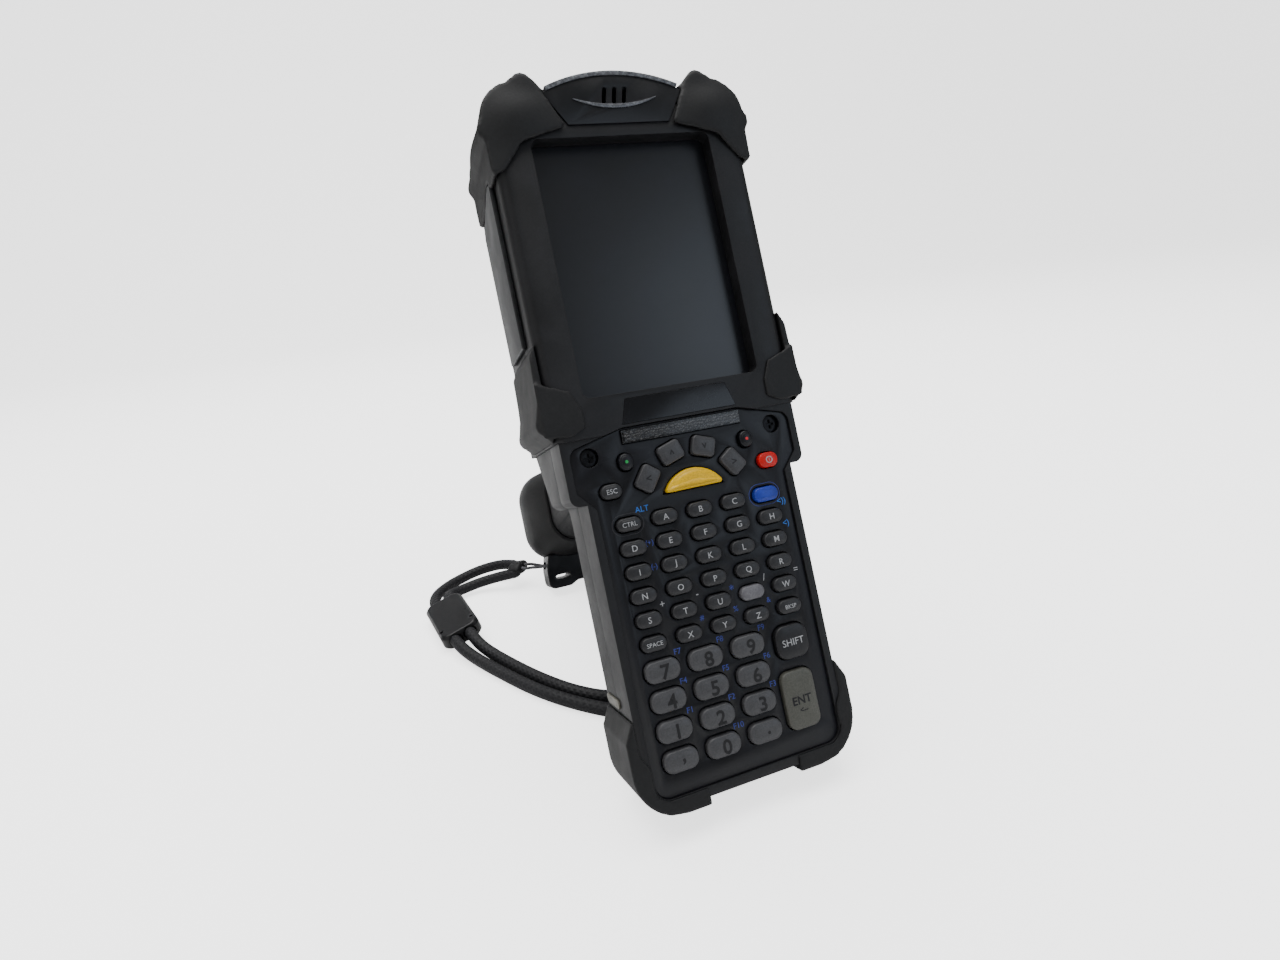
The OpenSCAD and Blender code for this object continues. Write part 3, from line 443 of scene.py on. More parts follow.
@dataclass
class Part:
    """Shared work of every sub-assembly: what it stands on and where its pieces go."""

    frame: dict
    pieces: list[bpy.types.Object] = field(default_factory=list)
    weld: float = 2e-6
    flat_degrees: float = 0.6
    sharp_degrees: float = 38.0
    least_edge_mm: float = 0.06
    edge_cut: float = 0.6

    def body(self, node: str) -> str:
        """The body that a CAD node belongs to."""
        bodies = self.frame["record"]["behaviour"]["bodies"]
        return next(name for name, nodes in bodies.items() if node in nodes)

    def settle(self, piece: bpy.types.Object, node: str, stands_for: bool = True) -> bpy.types.Object:
        """Let a piece ride with a node's body and, if asked, stand for it.

        Args:
            piece: the finished piece.
            node: the CAD node it goes with.
            stands_for: whether it replaces that node.

        Returns:
            The same piece.
        """
        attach(piece, self.body(node))
        if stands_for:
            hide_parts(node)
        self.pieces.append(piece)
        return piece

    def paint(self, node: str, finish: Finish) -> None:
        """Give a CAD node that stays a better finish."""
        mesh = self.frame["nodes"][node].data
        mesh.materials.clear()
        mesh.materials.append(finish.material())

    def welded(self, node: str, name: str, dissolve: bool) -> bpy.types.Mesh:
        """Copy a CAD node's mesh with its loose triangles merged.

        Args:
            node: the CAD node.
            name: the copy's name.
            dissolve: whether the triangles of a flat face become one face.

        Returns:
            The new mesh.
        """
        work = bmesh.new()
        work.from_mesh(self.frame["nodes"][node].data)
        bmesh.ops.remove_doubles(work, verts=work.verts, dist=self.weld)
        if dissolve:
            flat = math.radians(self.flat_degrees)
            bmesh.ops.dissolve_limit(work, angle_limit=flat, verts=work.verts, edges=work.edges)
        mesh = bpy.data.meshes.new(name)
        work.to_mesh(mesh)
        work.free()
        return mesh

    def moulded(self, node: str, mesh: bpy.types.Mesh, finish: Finish) -> bpy.types.Object:
        """Make a smooth-shaded piece of a mesh, named after its node."""
        mesh.polygons.foreach_set("use_smooth", np.full(len(mesh.polygons), True))
        mesh.materials.clear()
        mesh.materials.append(finish.material())
        piece = bpy.data.objects.new(node + "_moulded", mesh)
        bpy.context.scene.collection.objects.link(piece)
        return piece

    def soften(self, node: str, finish: Finish, edge_mm: float, steps: int = 3) -> bpy.types.Object:
        """Copy a CAD solid with its edges rounded as moulding rounds them.

        Every sharp edge is rounded by the Bevel modifier. Where a face would stray past
        the rounding's own radius, the rounding is cut, down to the least edge.

        Args:
            node: the CAD node.
            finish: its finish.
            edge_mm: radius of the rounding.
            steps: segments of the rounding.

        Returns:
            The piece, which replaces the node.
        """
        piece = self.moulded(node, self.welded(node, node + "_moulded", dissolve=True), finish)
        bevel = piece.modifiers.new("moulded_edges", "BEVEL")
        bevel.width = edge_mm * MM
        bevel.segments = steps
        bevel.limit_method = "ANGLE"
        bevel.angle_limit = math.radians(self.sharp_degrees)
        bevel.use_clamp_overlap = False
        bevel.harden_normals = True
        cuts = 0
        while bevel.width > self.least_edge_mm * MM and self.strays(piece, node) > bevel.width:
            bevel.width *= self.edge_cut
            cuts += 1
        if cuts:
            left = self.strays(piece, node) / MM
            LOG.info("%s: rounding cut from %.2f to %.2f mm, strays %.2f mm", node, edge_mm, bevel.width / MM, left)
        return self.settle(piece, node)

    def strays(self, piece: bpy.types.Object, node: str) -> float:
        """How far the middle of any finished face lies from the CAD surface, in metres.

        A rounding stays within its own radius of the solid. More than that means that a
        face has shot past a narrow place and sticks out or covers an opening. Only the
        middles of triangles are measured, not their corners.
        """
        solid = self.frame["nodes"][node].data
        surface = BVHTree.FromPolygons([v.co for v in solid.vertices], [p.vertices for p in solid.polygons])
        bpy.context.view_layer.update()
        shown = piece.evaluated_get(bpy.context.evaluated_depsgraph_get())
        shape = shown.to_mesh()
        shape.calc_loop_triangles()
        furthest = 0.0
        for triangle in shape.loop_triangles:
            middle = sum((shape.vertices[i].co for i in triangle.vertices), Vector()) / 3
            furthest = max(furthest, surface.find_nearest(middle)[3])
        shown.to_mesh_clear()
        return furthest

    def sculpt(
        self, node: str, finish: Finish, cell_mm: float, rounds: int, swell: Callable[[Array], Array] | None = None
    ) -> bpy.types.Object:
        """Turn a CAD solid into a soft moulded form.

        The solid is cut into even cells, each point is drawn towards its neighbours' mean
        so that every edge becomes a soft round, and then the swell moves the points.

        Args:
            node: the CAD node.
            finish: its finish.
            cell_mm: size of the cells.
            rounds: how many times the points are averaged.
            swell: gives each device point's shift in millimetres, or None.

        Returns:
            The piece, which replaces the node.
        """
        holder = bpy.data.objects.new(node + "_rough", self.welded(node, node + "_rough", dissolve=False))
        bpy.context.scene.collection.objects.link(holder)
        cells = holder.modifiers.new("cells", "REMESH")
        cells.mode, cells.voxel_size = "VOXEL", cell_mm * MM
        softer = holder.modifiers.new("softer", "SMOOTH")
        softer.factor, softer.iterations = 0.5, rounds
        bpy.context.view_layer.update()
        mesh = bpy.data.meshes.new_from_object(holder.evaluated_get(bpy.context.evaluated_depsgraph_get()))
        mesh.name = node + "_moulded"
        bpy.data.objects.remove(holder)
        if swell:
            co = np.empty(len(mesh.vertices) * 3)
            mesh.vertices.foreach_get("co", co)
            points = STANCE.device(co.reshape(-1, 3))
            mesh.vertices.foreach_set("co", STANCE.place(points + swell(points)).ravel())
        return self.settle(self.moulded(node, mesh, finish), node)


def boot_swell(points: Array) -> Array:
    """Bulge of a head corner boot.

    Near the front the pad rises by a bell-shaped hill round its middle; away from the
    front the two knobs sink, so that each stands out as a bump and not as a ridge.

    Args:
        points: (n, 3) device points in millimetres.

    Returns:
        The shift of each point.
    """
    u, v, w = points.T
    a = np.abs(u)
    # middles of the front pad, of the knob at its top and of the ear at its side
    pad_u, pad_v = 33, 148
    knob_u, knob_v, knob_w, knob_foot = 29.4, 160, -5, 157
    ear_u, ear_v, ear_w = 43.5, 143.6, -13
    pad_rise, knob_rise, knob_sink, ear_sink = 2.3, 0.6, 1.6, 1.3
    face_depth = 7
    front = np.clip((w + face_depth) / face_depth, 0, 1)
    hill = np.exp(-(((a - pad_u) / 10) ** 2) - ((v - pad_v) / 9) ** 2)
    knob = np.exp(-(((a - knob_u) / 5.5) ** 2) - ((v - knob_v) / 4) ** 2)
    rear = 1 - np.exp(-(((w - knob_w) / 11) ** 2))
    ear = np.clip((a - ear_u) / 2, 0, 1) * np.exp(-(((v - ear_v) / 7) ** 2))
    back = 1 - np.exp(-(((w - ear_w) / 12) ** 2))
    shift = np.zeros_like(points)
    shift[:, 2] = front * (pad_rise * hill + knob_rise * knob)
    shift[:, 1] = -knob_sink * rear * np.clip((v - knob_foot) / 3, 0, 1)
    shift[:, 0] = -np.sign(u) * ear_sink * back * ear
    return shift


# ---------------------------------------------------------------- strap


@dataclass
class Strap(Part):
    """Braided wrist cord with its string, sewn sleeve and slider."""

    cord_mm: float = 5.5
    string_mm: float = 1.6
    steps: int = 8
    sleeve_ends: tuple = ((-31.4, 92.2, 11.9), (-38.0, 97.6, 9.9))
    sleeve_half: tuple[float, float] = (6.2, 3.3)
    string_route: tuple = (
        (-17, 80.8, 14.2), (-21, 81, 14.2), (-25, 83.2, 13.6), (-28.6, 86.4, 12.8), (-31.2, 88.4, 12.2),
        (-32.8, 90.8, 11.9), (-31.8, 93.4, 12.1), (-29, 93, 12.4), (-26.6, 90.2, 12.8), (-24, 87.2, 12.8),
        (-21.4, 85.2, 12.7), (-17, 85, 12.7),
    )
    cord_route: tuple = (
        (-33.5, 96.4, 11.6), (-42, 108.4, 9), (-53, 114.4, 6), (-64, 112.9, 4.2), (-73, 106.4, 4),
        (-79.6, 96.4, 4.6), (-81.6, 83.4, 5.5), (-78.6, 59.9, 5.5), (-75.8, 37.9, 5.5), (-70, 23.4, 3.8),
        (-59.6, 3.4, 3), (-49.5, -14.6, 3), (-38, -30.1, 3), (-24.5, -43.6, 3), (-9, -53.1, 3),
        (7, -56.6, 3), (19, -50.6, 3), (22, -39.6, 3), (14, -31.1, 3), (0, -31.1, 3),
        (-13, -34.1, 3), (-24, -33.1, 3), (-34, -24.6, 3), (-43.5, -11.6, 3), (-53.5, 6.4, 3),
        (-64, 26.4, 4.6), (-68.6, 38.9, 7.2), (-71.4, 60.9, 7.5), (-74.3, 83.4, 7.2), (-72.4, 92.4, 5.4),
        (-66, 97.9, 4.2), (-56, 99.4, 5.2), (-45, 95.9, 7.6), (-34, 89.6, 10.4),
    )

    @staticmethod
    def curve(route: Sequence, steps: int) -> Array:
        """The Catmull-Rom curve through a route.

        It is a cubic between points, and the slope at each is set by its neighbours.
        """
        p = np.asarray(route, float)
        p = np.vstack([p[:1], p, p[-1:]])
        t = np.arange(steps)[None, :, None] / steps
        a, b, c, d = (p[i : len(p) - 3 + i, None, :] for i in range(4))
        line = 0.5 * (2 * b + (c - a) * t + (2 * a - 5 * b + 4 * c - d) * t**2 + (3 * b - a - 3 * c + d) * t**3)
        return np.vstack([line.reshape(-1, 3), p[-1:]])

    @staticmethod
    def tube(name: str, line: Array, diameter: float, finish: Finish, sides: int = 20) -> bpy.types.Object:
        """A closed tube along a line.

        At each point a circle lies across the line's direction, level side first, and the
        two ends close in a dome of three shrinking rings.

        Args:
            name: the piece's name.
            line: (n, 3) points in millimetres.
            diameter: the tube's diameter in millimetres.
            finish: its finish.
            sides: corners of each circle.

        Returns:
            The tube, with a UV map of turns round and metres along.
        """
        way = np.gradient(line, axis=0)
        way /= np.linalg.norm(way, axis=1, keepdims=True)
        side, over = across(way)
        angle = np.arange(sides) * 2 * np.pi / sides
        radius = np.full(len(line), diameter / 2)
        shrink = np.array([0.05, 0.6, 0.88])
        radius[:3] *= shrink
        radius[-3:] *= shrink[::-1]
        ring = np.cos(angle)[None, :, None] * side[:, None] + np.sin(angle)[None, :, None] * over[:, None]
        points = (line[:, None] + radius[:, None, None] * ring).reshape(-1, 3) * MM
        faces = grid_faces(len(line), sides).tolist() + end_faces(len(line), sides)
        piece = make_piece(name, points, faces, [finish])
        gone = np.concatenate([[0], np.cumsum(np.linalg.norm(np.diff(line, axis=0), axis=1))]) * MM
        corner = np.empty(len(piece.data.loops), np.int32)
        piece.data.loops.foreach_get("vertex_index", corner)
        uv = np.stack([(corner % sides) / sides, gone[corner // sides]], 1)
        wrap = np.arange(len(corner))[: 4 * sides * (len(line) - 1)].reshape(-1, 4)
        late = (corner[wrap] % sides == 0) & ((corner[wrap] % sides).max(1) == sides - 1)[:, None]
        uv[wrap, 0] += late
        piece.data.uv_layers.new(name="along").data.foreach_set("uv", uv.ravel())
        return piece

    def sleeve(self, rings: int = 15, sides: int = 28) -> bpy.types.Object:
        """Flat sewn sleeve over the cord's two ends.

        An oval is carried along a short line and is widest in the middle.

        Args:
            rings: ovals along the line.
            sides: corners of each oval.

        Returns:
            The sleeve.
        """
        line = np.linspace(*self.sleeve_ends, rings)
        taper = np.sqrt(np.clip(1 - np.linspace(-1, 1, rings) ** 6, 0.02, 1))
        wide, thick = (half * taper[:, None, None] for half in self.sleeve_half)
        side, over = across((line[-1] - line[0]) / np.linalg.norm(line[-1] - line[0]))
        angle = np.arange(sides) * 2 * np.pi / sides
        oval = wide * np.cos(angle)[None, :, None] * side + thick * np.sin(angle)[None, :, None] * over
        points = (line[:, None] + oval).reshape(-1, 3) * MM
        faces = grid_faces(rings, sides).tolist() + end_faces(rings, sides)
        return make_piece("sewn_sleeve", points, faces, [Finishes.SLEEVE])

    def build(self) -> None:
        line = self.curve(self.cord_route, self.steps)
        cord = self.settle(self.tube("wrist_cord", line, self.cord_mm, Finishes.CORD), "strap_loop")
        loose = self.curve(self.string_route, self.steps)
        string = self.tube("bracket_string", loose, self.string_mm, Finishes.STRING, sides=12)
        self.settle(string, "strap_string")
        sleeve = self.settle(self.sleeve(), "strap_loop", stands_for=False)
        slider = self.sculpt("strap_slider", Finishes.BRACKET, 0.35, 4)


# ---------------------------------------------------------------- shells and trim


@dataclass
class Body(Part):
    """Head and tail: shells, boots, panels, cap, display and what is inside."""

    head_half: float = 42.0
    head_round: float = 3.2
    head_foot: float = 46.0

    def round_head(self, piece: bpy.types.Object) -> None:
        """Round the head's two long front edges with a larger radius, before the general rounding."""
        co = np.empty(len(piece.data.vertices) * 3)
        piece.data.vertices.foreach_get("co", co)
        u, v, w = STANCE.device(co.reshape(-1, 3)).T
        near = 0.1
        edge = np.flatnonzero((np.abs(u) > self.head_half - near) & (w > -near / 2) & (v > self.head_foot))
        group = piece.vertex_groups.new(name="long_edges")
        group.add(edge.tolist(), 1.0, "REPLACE")
        large = piece.modifiers.new("long_edges", "BEVEL")
        large.width, large.segments, large.use_clamp_overlap = self.head_round * MM, 6, False
        large.limit_method, large.vertex_group, large.harden_normals = "VGROUP", "long_edges", True
        piece.modifiers.move(1, 0)

    def build(self) -> None:
        """Round every moulded edge and dress every node."""
        rounded = (
            ("front_housing", Finishes.HOUSING, 0.7), ("rear_housing", Finishes.HOUSING, 1.2),
            ("side_panels", Finishes.PANEL, 0.5), ("side_plates", Finishes.BEIGE, 0.15),
            ("top_cap", Finishes.CAP, 0.3), ("cap_trim", Finishes.TRIM, 0.12),
            ("keypad_housing", Finishes.KEYPAD, 0.25), ("nameplate", Finishes.PLATE, 0.05),
            ("io_connector", Finishes.CONNECTOR, 0.15), ("screws", Finishes.BLACK_SCREW, 0.1),
        )
        for node, finish, edge in rounded:
            piece = self.soften(node, finish, edge)
            if node == "front_housing":
                self.round_head(piece)
        for side in ("left", "right"):
            self.sculpt(f"top_boot_{side}", Finishes.BOOT, 0.6, 8, boot_swell)
            self.sculpt(f"shoulder_boot_{side}", Finishes.BOOT, 0.5, 8)
            self.sculpt(f"tail_boot_{side}", Finishes.BOOT, 0.5, 7)
        for node, finish in (
            ("display_glass", Finishes.GLASS), ("display_gasket", Finishes.GASKET),
            ("lcd_module", Finishes.LCD), ("circuit_boards", Finishes.BOARD),
            ("keypad_membrane", Finishes.SILICONE), ("speaker", Finishes.GASKET),
            ("scan_window", Finishes.SCAN_GLASS), ("scan_engine", Finishes.LCD),
            ("light_bar", Finishes.BAR),
        ):
            self.paint(node, finish)
        LOG.info("body: %d rounded pieces", len(self.pieces))


@dataclass
class Grip(Part):
    """Pistol grip with its trigger, battery, foot boot and strap bracket."""

    def build(self) -> None:
        """Round the grip's mouldings and dress its works."""
        for node, finish, edge in (
            ("grip_left", Finishes.GRIP, 0.5), ("grip_right", Finishes.GRIP, 0.5),
            ("trigger", Finishes.TRIGGER, 0.9), ("battery_pack", Finishes.BATTERY, 0.5),
            ("battery_latch", Finishes.BRACKET, 0.25),
            # rounded and not sculpted: the sculpted boot met the latch when it was pressed
            ("base_boot", Finishes.BOOT, 0.8),
        ):
            self.soften(node, finish, edge)
        self.sculpt("strap_anchor", Finishes.BRACKET, 0.45, 4)
        for node in ("trigger_pin", "trigger_spring"):
            self.paint(node, Finishes.STEEL)
        self.paint("trigger_switch", Finishes.CONNECTOR)
        LOG.info("grip: %d rounded pieces", len(self.pieces))


# ---------------------------------------------------------------- keypad


@dataclass(frozen=True)
class Spot:
    """Where a key sits on the face and how large it is, in millimetres."""

    u: float
    v: float
    wide: float
    tall: float
    corner: float | None = None

    @property
    def centre(self) -> tuple[float, float]:
        """Its middle."""
        return self.u, self.v

    @property
    def radius(self) -> float:
        """Its corner radius; without one of its own, its ends are half circles."""
        return min(self.wide, self.tall) / 2 if self.corner is None else self.corner

    @property
    def core(self) -> Array:
        """Hull of its corner centres about its middle."""
        return box_core(self.wide, self.tall, self.radius)


SPOTS = {
    "esc_key": Spot(-27.4, 29.7, 6.8, 4.6),
    "ctrl_key": Spot(-24, 18.75, 8, 4.2),
    "function_key": Spot(24, 18.75, 8.8, 4.8),
    "power_key": Spot(27.3, 29.6, 7, 5),
    "shift_key": Spot(22.1, -30, 11.6, 11, 3.6),
    "enter_key": Spot(21, -48.8, 11.6, 19, 3.0),
    "green_dot_key": Spot(-20.9, 37.8, 4.6, 5.4),
    "red_dot_key": Spot(20.9, 37.8, 4.6, 5.4),
}


@dataclass
class Keypad(Part):
    """Domed keys with their legends, and the legends printed on the face."""

    pitch: tuple[float, float] = (12.0, 7.5)
    letter: tuple[float, float] = (8.4, 4.6)
    digit: tuple[float, float] = (11.6, 6.8)
    digit_x: tuple = (-23.0, -8.3, 6.6)
    digit_y: tuple = (-27.4, -36.7, -46.0, -55.3)
    scan_y: float = 25.7
    scan_half: float = 10.3
    scan_rise: float = 6.4
    face_w: float = -1.8
    deep_w: float = -7.0
    crown: float = 0.35
    sides: int = 48
    ink_thick: float = 0.03
    digit_corner: float = 3.0
    digit_crown: float = 0.5
    digit_cap: float = 4.4
    arrow_ring: float = 18.4
    arrow_size: tuple[float, float] = (6.4, 8.0)
    arrow_corner: float = 1.4
    arrow_crown: float = 0.3
    scan_corner: float = 0.8
    ring_sides: int = 64
    ring_gap: float = 1.1
    ring_thick: float = 0.16

    def cap(
        self,
        centre: tuple[float, float],
        core: Array,
        radius: float,
        edge: float = 0.7,
        turn: float = 0.0,
        crown: float | None = None,
    ) -> tuple[Array, Array]:
        """One key cap: straight sides, a quarter-round edge and a crowned top.

        Rings of the outline climb the side, draw in by edge*(1 - cos) while they rise by
        edge*sin, and then shrink to the middle as the top rises by crown*(1 - r^4).

        Args:
            centre: middle of the key on the face.
            core: hull of corner centres about that middle.
            radius: corner radius.
            edge: radius of the top edge.
            turn: turn about the key's middle, in degrees.
            crown: height of the crown, or None for the usual one.

        Returns:
            Device points and faces.
        """
        crown = self.crown if crown is None else crown
        edge = min(edge, radius)
        inner, way = outline(core, self.sides)
        bend = np.linspace(0, np.pi / 2, 6)
        inset = np.concatenate([[0], edge * (1 - np.cos(bend))])
        level = np.concatenate([[self.deep_w], -edge + edge * np.sin(bend)])
        walls = inner[None] + (radius - inset)[:, None, None] * way[None]
        shrink = np.linspace(0.9, 0.02, 9)
        tops = walls[-1][None] * shrink[:, None, None]
        flat = np.concatenate([walls, tops])
        high = np.concatenate([level, crown * (1 - shrink**4)])
        a = math.radians(turn)
        spin = np.array([[math.cos(a), math.sin(a)], [-math.sin(a), math.cos(a)]])
        plan = flat.reshape(-1, 2) @ spin + np.asarray(centre)
        points = np.column_stack([plan, np.repeat(high, self.sides)])
        return points, grid_faces(len(high), self.sides).tolist() + end_faces(len(high), self.sides)

    def keys(
        self,
        name: str,
        node: str,
        caps: Sequence[tuple[Array, Sequence]],
        finishes: Sequence[Finish],
        chosen: Sequence[int] | None = None,
    ) -> bpy.types.Object:
        """Join caps into one piece that replaces a CAD key or key row.

        Args:
            name: the piece's name.
            node: the CAD node.
            caps: points and faces of each cap.
            finishes: finishes of the slots.
            chosen: which finish each cap takes.

        Returns:
            The piece.
        """
        points, faces, which, start = [], [], [], 0
        for i, (p, f) in enumerate(caps):
            points.append(p)
            faces += [tuple(c + start for c in face) for face in f]
            which += [0 if chosen is None else chosen[i]] * len(f)
            start += len(p)
        piece = make_piece(name, STANCE.place(np.vstack(points)), faces, finishes)
        piece.data.polygons.foreach_set("material_index", np.array(which, np.int32))
        return self.settle(piece, node)

    def print_on(
        self,
        name: str,
        node: str,
        words: Sequence[tuple[str, float, float, float]],
        level: float,
        finish: Finish,
        weight: float = 0.004,
    ) -> bpy.types.Object:
        """Print legends at a height above the keys' plane, as one thin piece.

        Args:
            name: the piece's name.
            node: the CAD node they ride with.
            words: (text, u, v, capital height in mm) of each legend.
            level: height w of the print's upper face.
            finish: the ink.
            weight: how much the strokes are thickened, as a share of the height.

        Returns:
            The printed piece.
        """
        points, faces, start = [], [], 0
        for text, u, v, tall in words:
            curve = bpy.data.curves.new("legend", "FONT")
            curve.body, curve.align_x, curve.align_y = text, "CENTER", "CENTER"
            # the font's capitals stand 1 / 1.45 of its size
            curve.size, curve.extrude, curve.resolution_u = tall * 1.45, self.ink_thick, 3
            curve.offset = weight * tall
            letters = bpy.data.objects.new("legend", curve)
            bpy.context.scene.collection.objects.link(letters)
            bpy.context.view_layer.update()
            flat = bpy.data.meshes.new_from_object(letters.evaluated_get(bpy.context.evaluated_depsgraph_get()))
            co = np.empty(len(flat.vertices) * 3)
            flat.vertices.foreach_get("co", co)
            co = co.reshape(-1, 3)
            co[:, :2] -= (co[:, :2].max(0) + co[:, :2].min(0)) / 2
            co += [u, v, level - self.ink_thick]
            points.append(co)
            faces += [tuple(c + start for c in p.vertices) for p in flat.polygons]
            start += len(co)
            bpy.data.objects.remove(letters)
            bpy.data.curves.remove(curve)
            bpy.data.meshes.remove(flat)
        piece = make_piece(name, STANCE.place(np.vstack(points)), faces, [finish], smooth=False)
        return self.settle(piece, node, stands_for=False)

    def ring(self, name: str, spot: Spot, finish: Finish) -> bpy.types.Object:
        """A printed ring round a key.

        The key's outline is grown by a gap, and again by the line's width, on two levels.
        """
        inner, way = outline(spot.core, self.ring_sides)
        near, far = (inner + (spot.radius + g) * way for g in (self.ring_gap, self.ring_gap + self.ring_thick))
        low, high = self.face_w - 0.02, self.face_w + 0.05
        points = np.vstack([
            np.column_stack([line + np.asarray(spot.centre), np.full(self.ring_sides, level)])
            for line, level in ((near, low), (near, high), (far, high), (far, low))
        ])
        # five rows of which the last is the first again, so that the section closes
        faces = grid_faces(5, self.ring_sides)[:, ::-1] % len(points)
        piece = make_piece(name, STANCE.place(points), faces.tolist(), [finish], smooth=False)
        return self.settle(piece, "keypad_housing", stands_for=False)

    def letter_rows(self) -> None:
        """Six rows of pill-shaped letter keys; one letter of the fifth row is worn away."""
        rows = ("ABC", "DEFGH", "IJKLM", "NOPQR", "STUVW", ("SPACE", "X", "Y", "Z", "BKSP"))
        core = box_core(*self.letter, self.letter[1] / 2)
        for i, row in enumerate(rows, 1):
            v = (3.5 - i) * self.pitch[1]
            first = -(len(row) // 2)
            places = [((first + k) * self.pitch[0], v) for k in range(len(row))]
            caps = [self.cap(p, core, self.letter[1] / 2) for p in places]
            second_tone = [1 if text == "V" else 0 for text in row]
            node = f"letter_row_{i}"
            self.keys(f"letter_keys_{i}", node, caps, [Finishes.KEY, Finishes.KEY_WORN], second_tone)
            words = [(t, u, y, 1.9 if len(t) == 1 else 1.3) for t, (u, y) in zip(row, places) if t != "V"]
            self.print_on(f"letter_legends_{i}", node, words, self.crown + self.ink_thick, Finishes.INK_LIGHT)

    def digit_rows(self) -> None:
        """Four rows of larger grey keys with dark digits."""
        core = box_core(*self.digit, self.digit_corner)
        for i, (row, v) in enumerate(zip(("789", "456", "123", ",0."), self.digit_y), 1):
            places = [(u, v) for u in self.digit_x]
            caps = [self.cap(p, core, self.digit_corner, edge=0.9, crown=self.digit_crown) for p in places]
            node = f"digit_row_{i}"
            self.keys(f"digit_keys_{i}", node, caps, [Finishes.KEY_GREY])
            words = [(t, u + 0.6, v - 0.2, self.digit_cap) for t, (u, v) in zip(row, places)]
            level = self.digit_crown + self.ink_thick
            self.print_on(f"digit_legends_{i}", node, words, level, Finishes.INK_DARK, 0.03)

    def special_keys(self) -> None:
        """Escape, control, function, power, shift, enter, dot, arrow and scan keys."""
        level = self.crown + self.ink_thick
        for node, finish, words, print_ink, weight in (
            ("esc_key", Finishes.KEY, (("ESC", 0, 1.5),), Finishes.INK_LIGHT, 0.002),
            ("ctrl_key", Finishes.KEY, (("CTRL", 0, 1.4),), Finishes.INK_LIGHT, 0.002),
            ("function_key", Finishes.BLUE, (), None, 0),
            ("power_key", Finishes.RED, (), None, 0),
            ("shift_key", Finishes.KEY_SHIFT, (("SHIFT", 0, 2.2),), Finishes.INK_LIGHT, 0.002),
            ("enter_key", Finishes.KEY_ENTER, (("ENT", 0, 2.6), ("<--", -3.2, 1.7)), Finishes.INK_DARK, 0.03),
        ):
            spot = SPOTS[node]
            self.keys(node + "_cap", node, [self.cap(spot.centre, spot.core, spot.radius)], [finish])
            if words:
                placed = [(text, spot.u, spot.v + down, tall) for text, down, tall in words]
                self.print_on(node + "_legend", node, placed, level, print_ink, weight)
        dots = [SPOTS["green_dot_key"], SPOTS["red_dot_key"]]
        caps = [self.cap(spot.centre, spot.core, spot.radius) for spot in dots]
        self.keys("dot_key_caps", "dot_keys", caps, [Finishes.KEYPAD])
        rise = self.scan_rise
        ring_y = self.scan_y + rise - (self.scan_half**2 + rise**2) / (2 * rise)
        core = box_core(*self.arrow_size, self.arrow_corner)
        for way, angle, mark in (("left", 144, "<"), ("up", 108, "^"), ("down", 72, "v"), ("right", 36, ">")):
            node = f"arrow_{way}_key"
            a = math.radians(angle)
            centre = (self.arrow_ring * math.cos(a), ring_y + self.arrow_ring * math.sin(a))
            cap = self.cap(centre, core, self.arrow_corner, turn=angle, crown=self.arrow_crown)
            self.keys(node + "_cap", node, [cap], [Finishes.KEY_ARROW])
            words = [(mark, *centre, 2.4)]
            above = self.arrow_crown + self.ink_thick
            self.print_on(node + "_legend", node, words, above, Finishes.INK_DARK, 0.02)
        self.scan_key(ring_y)

    def scan_key(self, ring_y: float) -> None:
        """The yellow scan key: a segment of a circle with small round corners."""
        corner, rise = self.scan_corner, self.scan_rise
        radius = (self.scan_half**2 + rise**2) / (2 * rise) - corner
        low = math.asin((self.scan_y + corner - ring_y) / radius)
        angle = np.linspace(low, np.pi - low, 40)
        arc = np.stack([radius * np.cos(angle), ring_y + radius * np.sin(angle)], 1)
        middle = np.array([0.0, self.scan_y + 2.9])
        cap = self.cap(tuple(middle), arc - middle, corner, edge=0.8, crown=0.8)
        self.keys("scan_key_cap", "scan_key", [cap], [Finishes.YELLOW])

    def face_print(self) -> None:
        """Second legends beside the keys in three inks, rings round two of them, and the dots."""
        px, py = self.pitch
        level = self.face_w + 0.05
        beside = 5.6
        rows = np.repeat(self.digit_y[:3], 3)
        words = [(f"F{n}", x + 6.3, y + 4.3, 1.8) for n, x, y in zip((7, 8, 9, 4, 5, 6, 1, 2, 3), self.digit_x * 3, rows)]
        words += [("F10", self.digit_x[1] + 6.6, self.digit_y[3] + 4.3, 1.8), ("*", beside, -1.5 * py + 3.0, 2.6)]
        words += [(t, c * px + beside, -2.5 * py + 3.6, 1.7) for t, c in zip("#%&", range(-1, 2))]
        words += [("(+)", -18.4, 11.6, 1.6), ("(-)", -18.4, 4.1, 1.6)]
        bright = [("ALT", -18.6, 22.6, 1.8), ("<))", 29.6, 15.2, 1.9), ("<)", 29.6, 7.7, 1.9)]
        signs = (("+", -2), ("-", -1), ("/", 1), ("=", 2))
        light = [(t, c * px + beside, -1.5 * py + 3.6, 2.2) for t, c in signs]
        for name, legends, print_ink in (
            ("blue_second_legends", words, Finishes.INK_BLUE),
            ("bright_second_legends", bright, Finishes.INK_BRIGHT),
            ("light_second_legends", light, Finishes.INK_LIGHT),
        ):
            self.print_on(name, "keypad_housing", legends, level, print_ink)
        self.ring("control_key_ring", SPOTS["ctrl_key"], Finishes.INK_GREY)
        self.ring("function_key_ring", SPOTS["function_key"], Finishes.INK_BLUE)
        for name, print_ink in (("green_dot", Finishes.DOT_GREEN), ("red_dot", Finishes.DOT_RED)):
            dot = [(".", *SPOTS[name + "_key"].centre, 5.6)]
            self.print_on(name, "dot_keys", dot, self.crown + 0.04, print_ink)
        power = SPOTS["power_key"].centre
        symbol = [("O", *power, 2.3), ("I", *power, 1.2)]
        self.print_on("power_symbol", "power_key", symbol, self.crown + self.ink_thick, Finishes.INK_LIGHT)

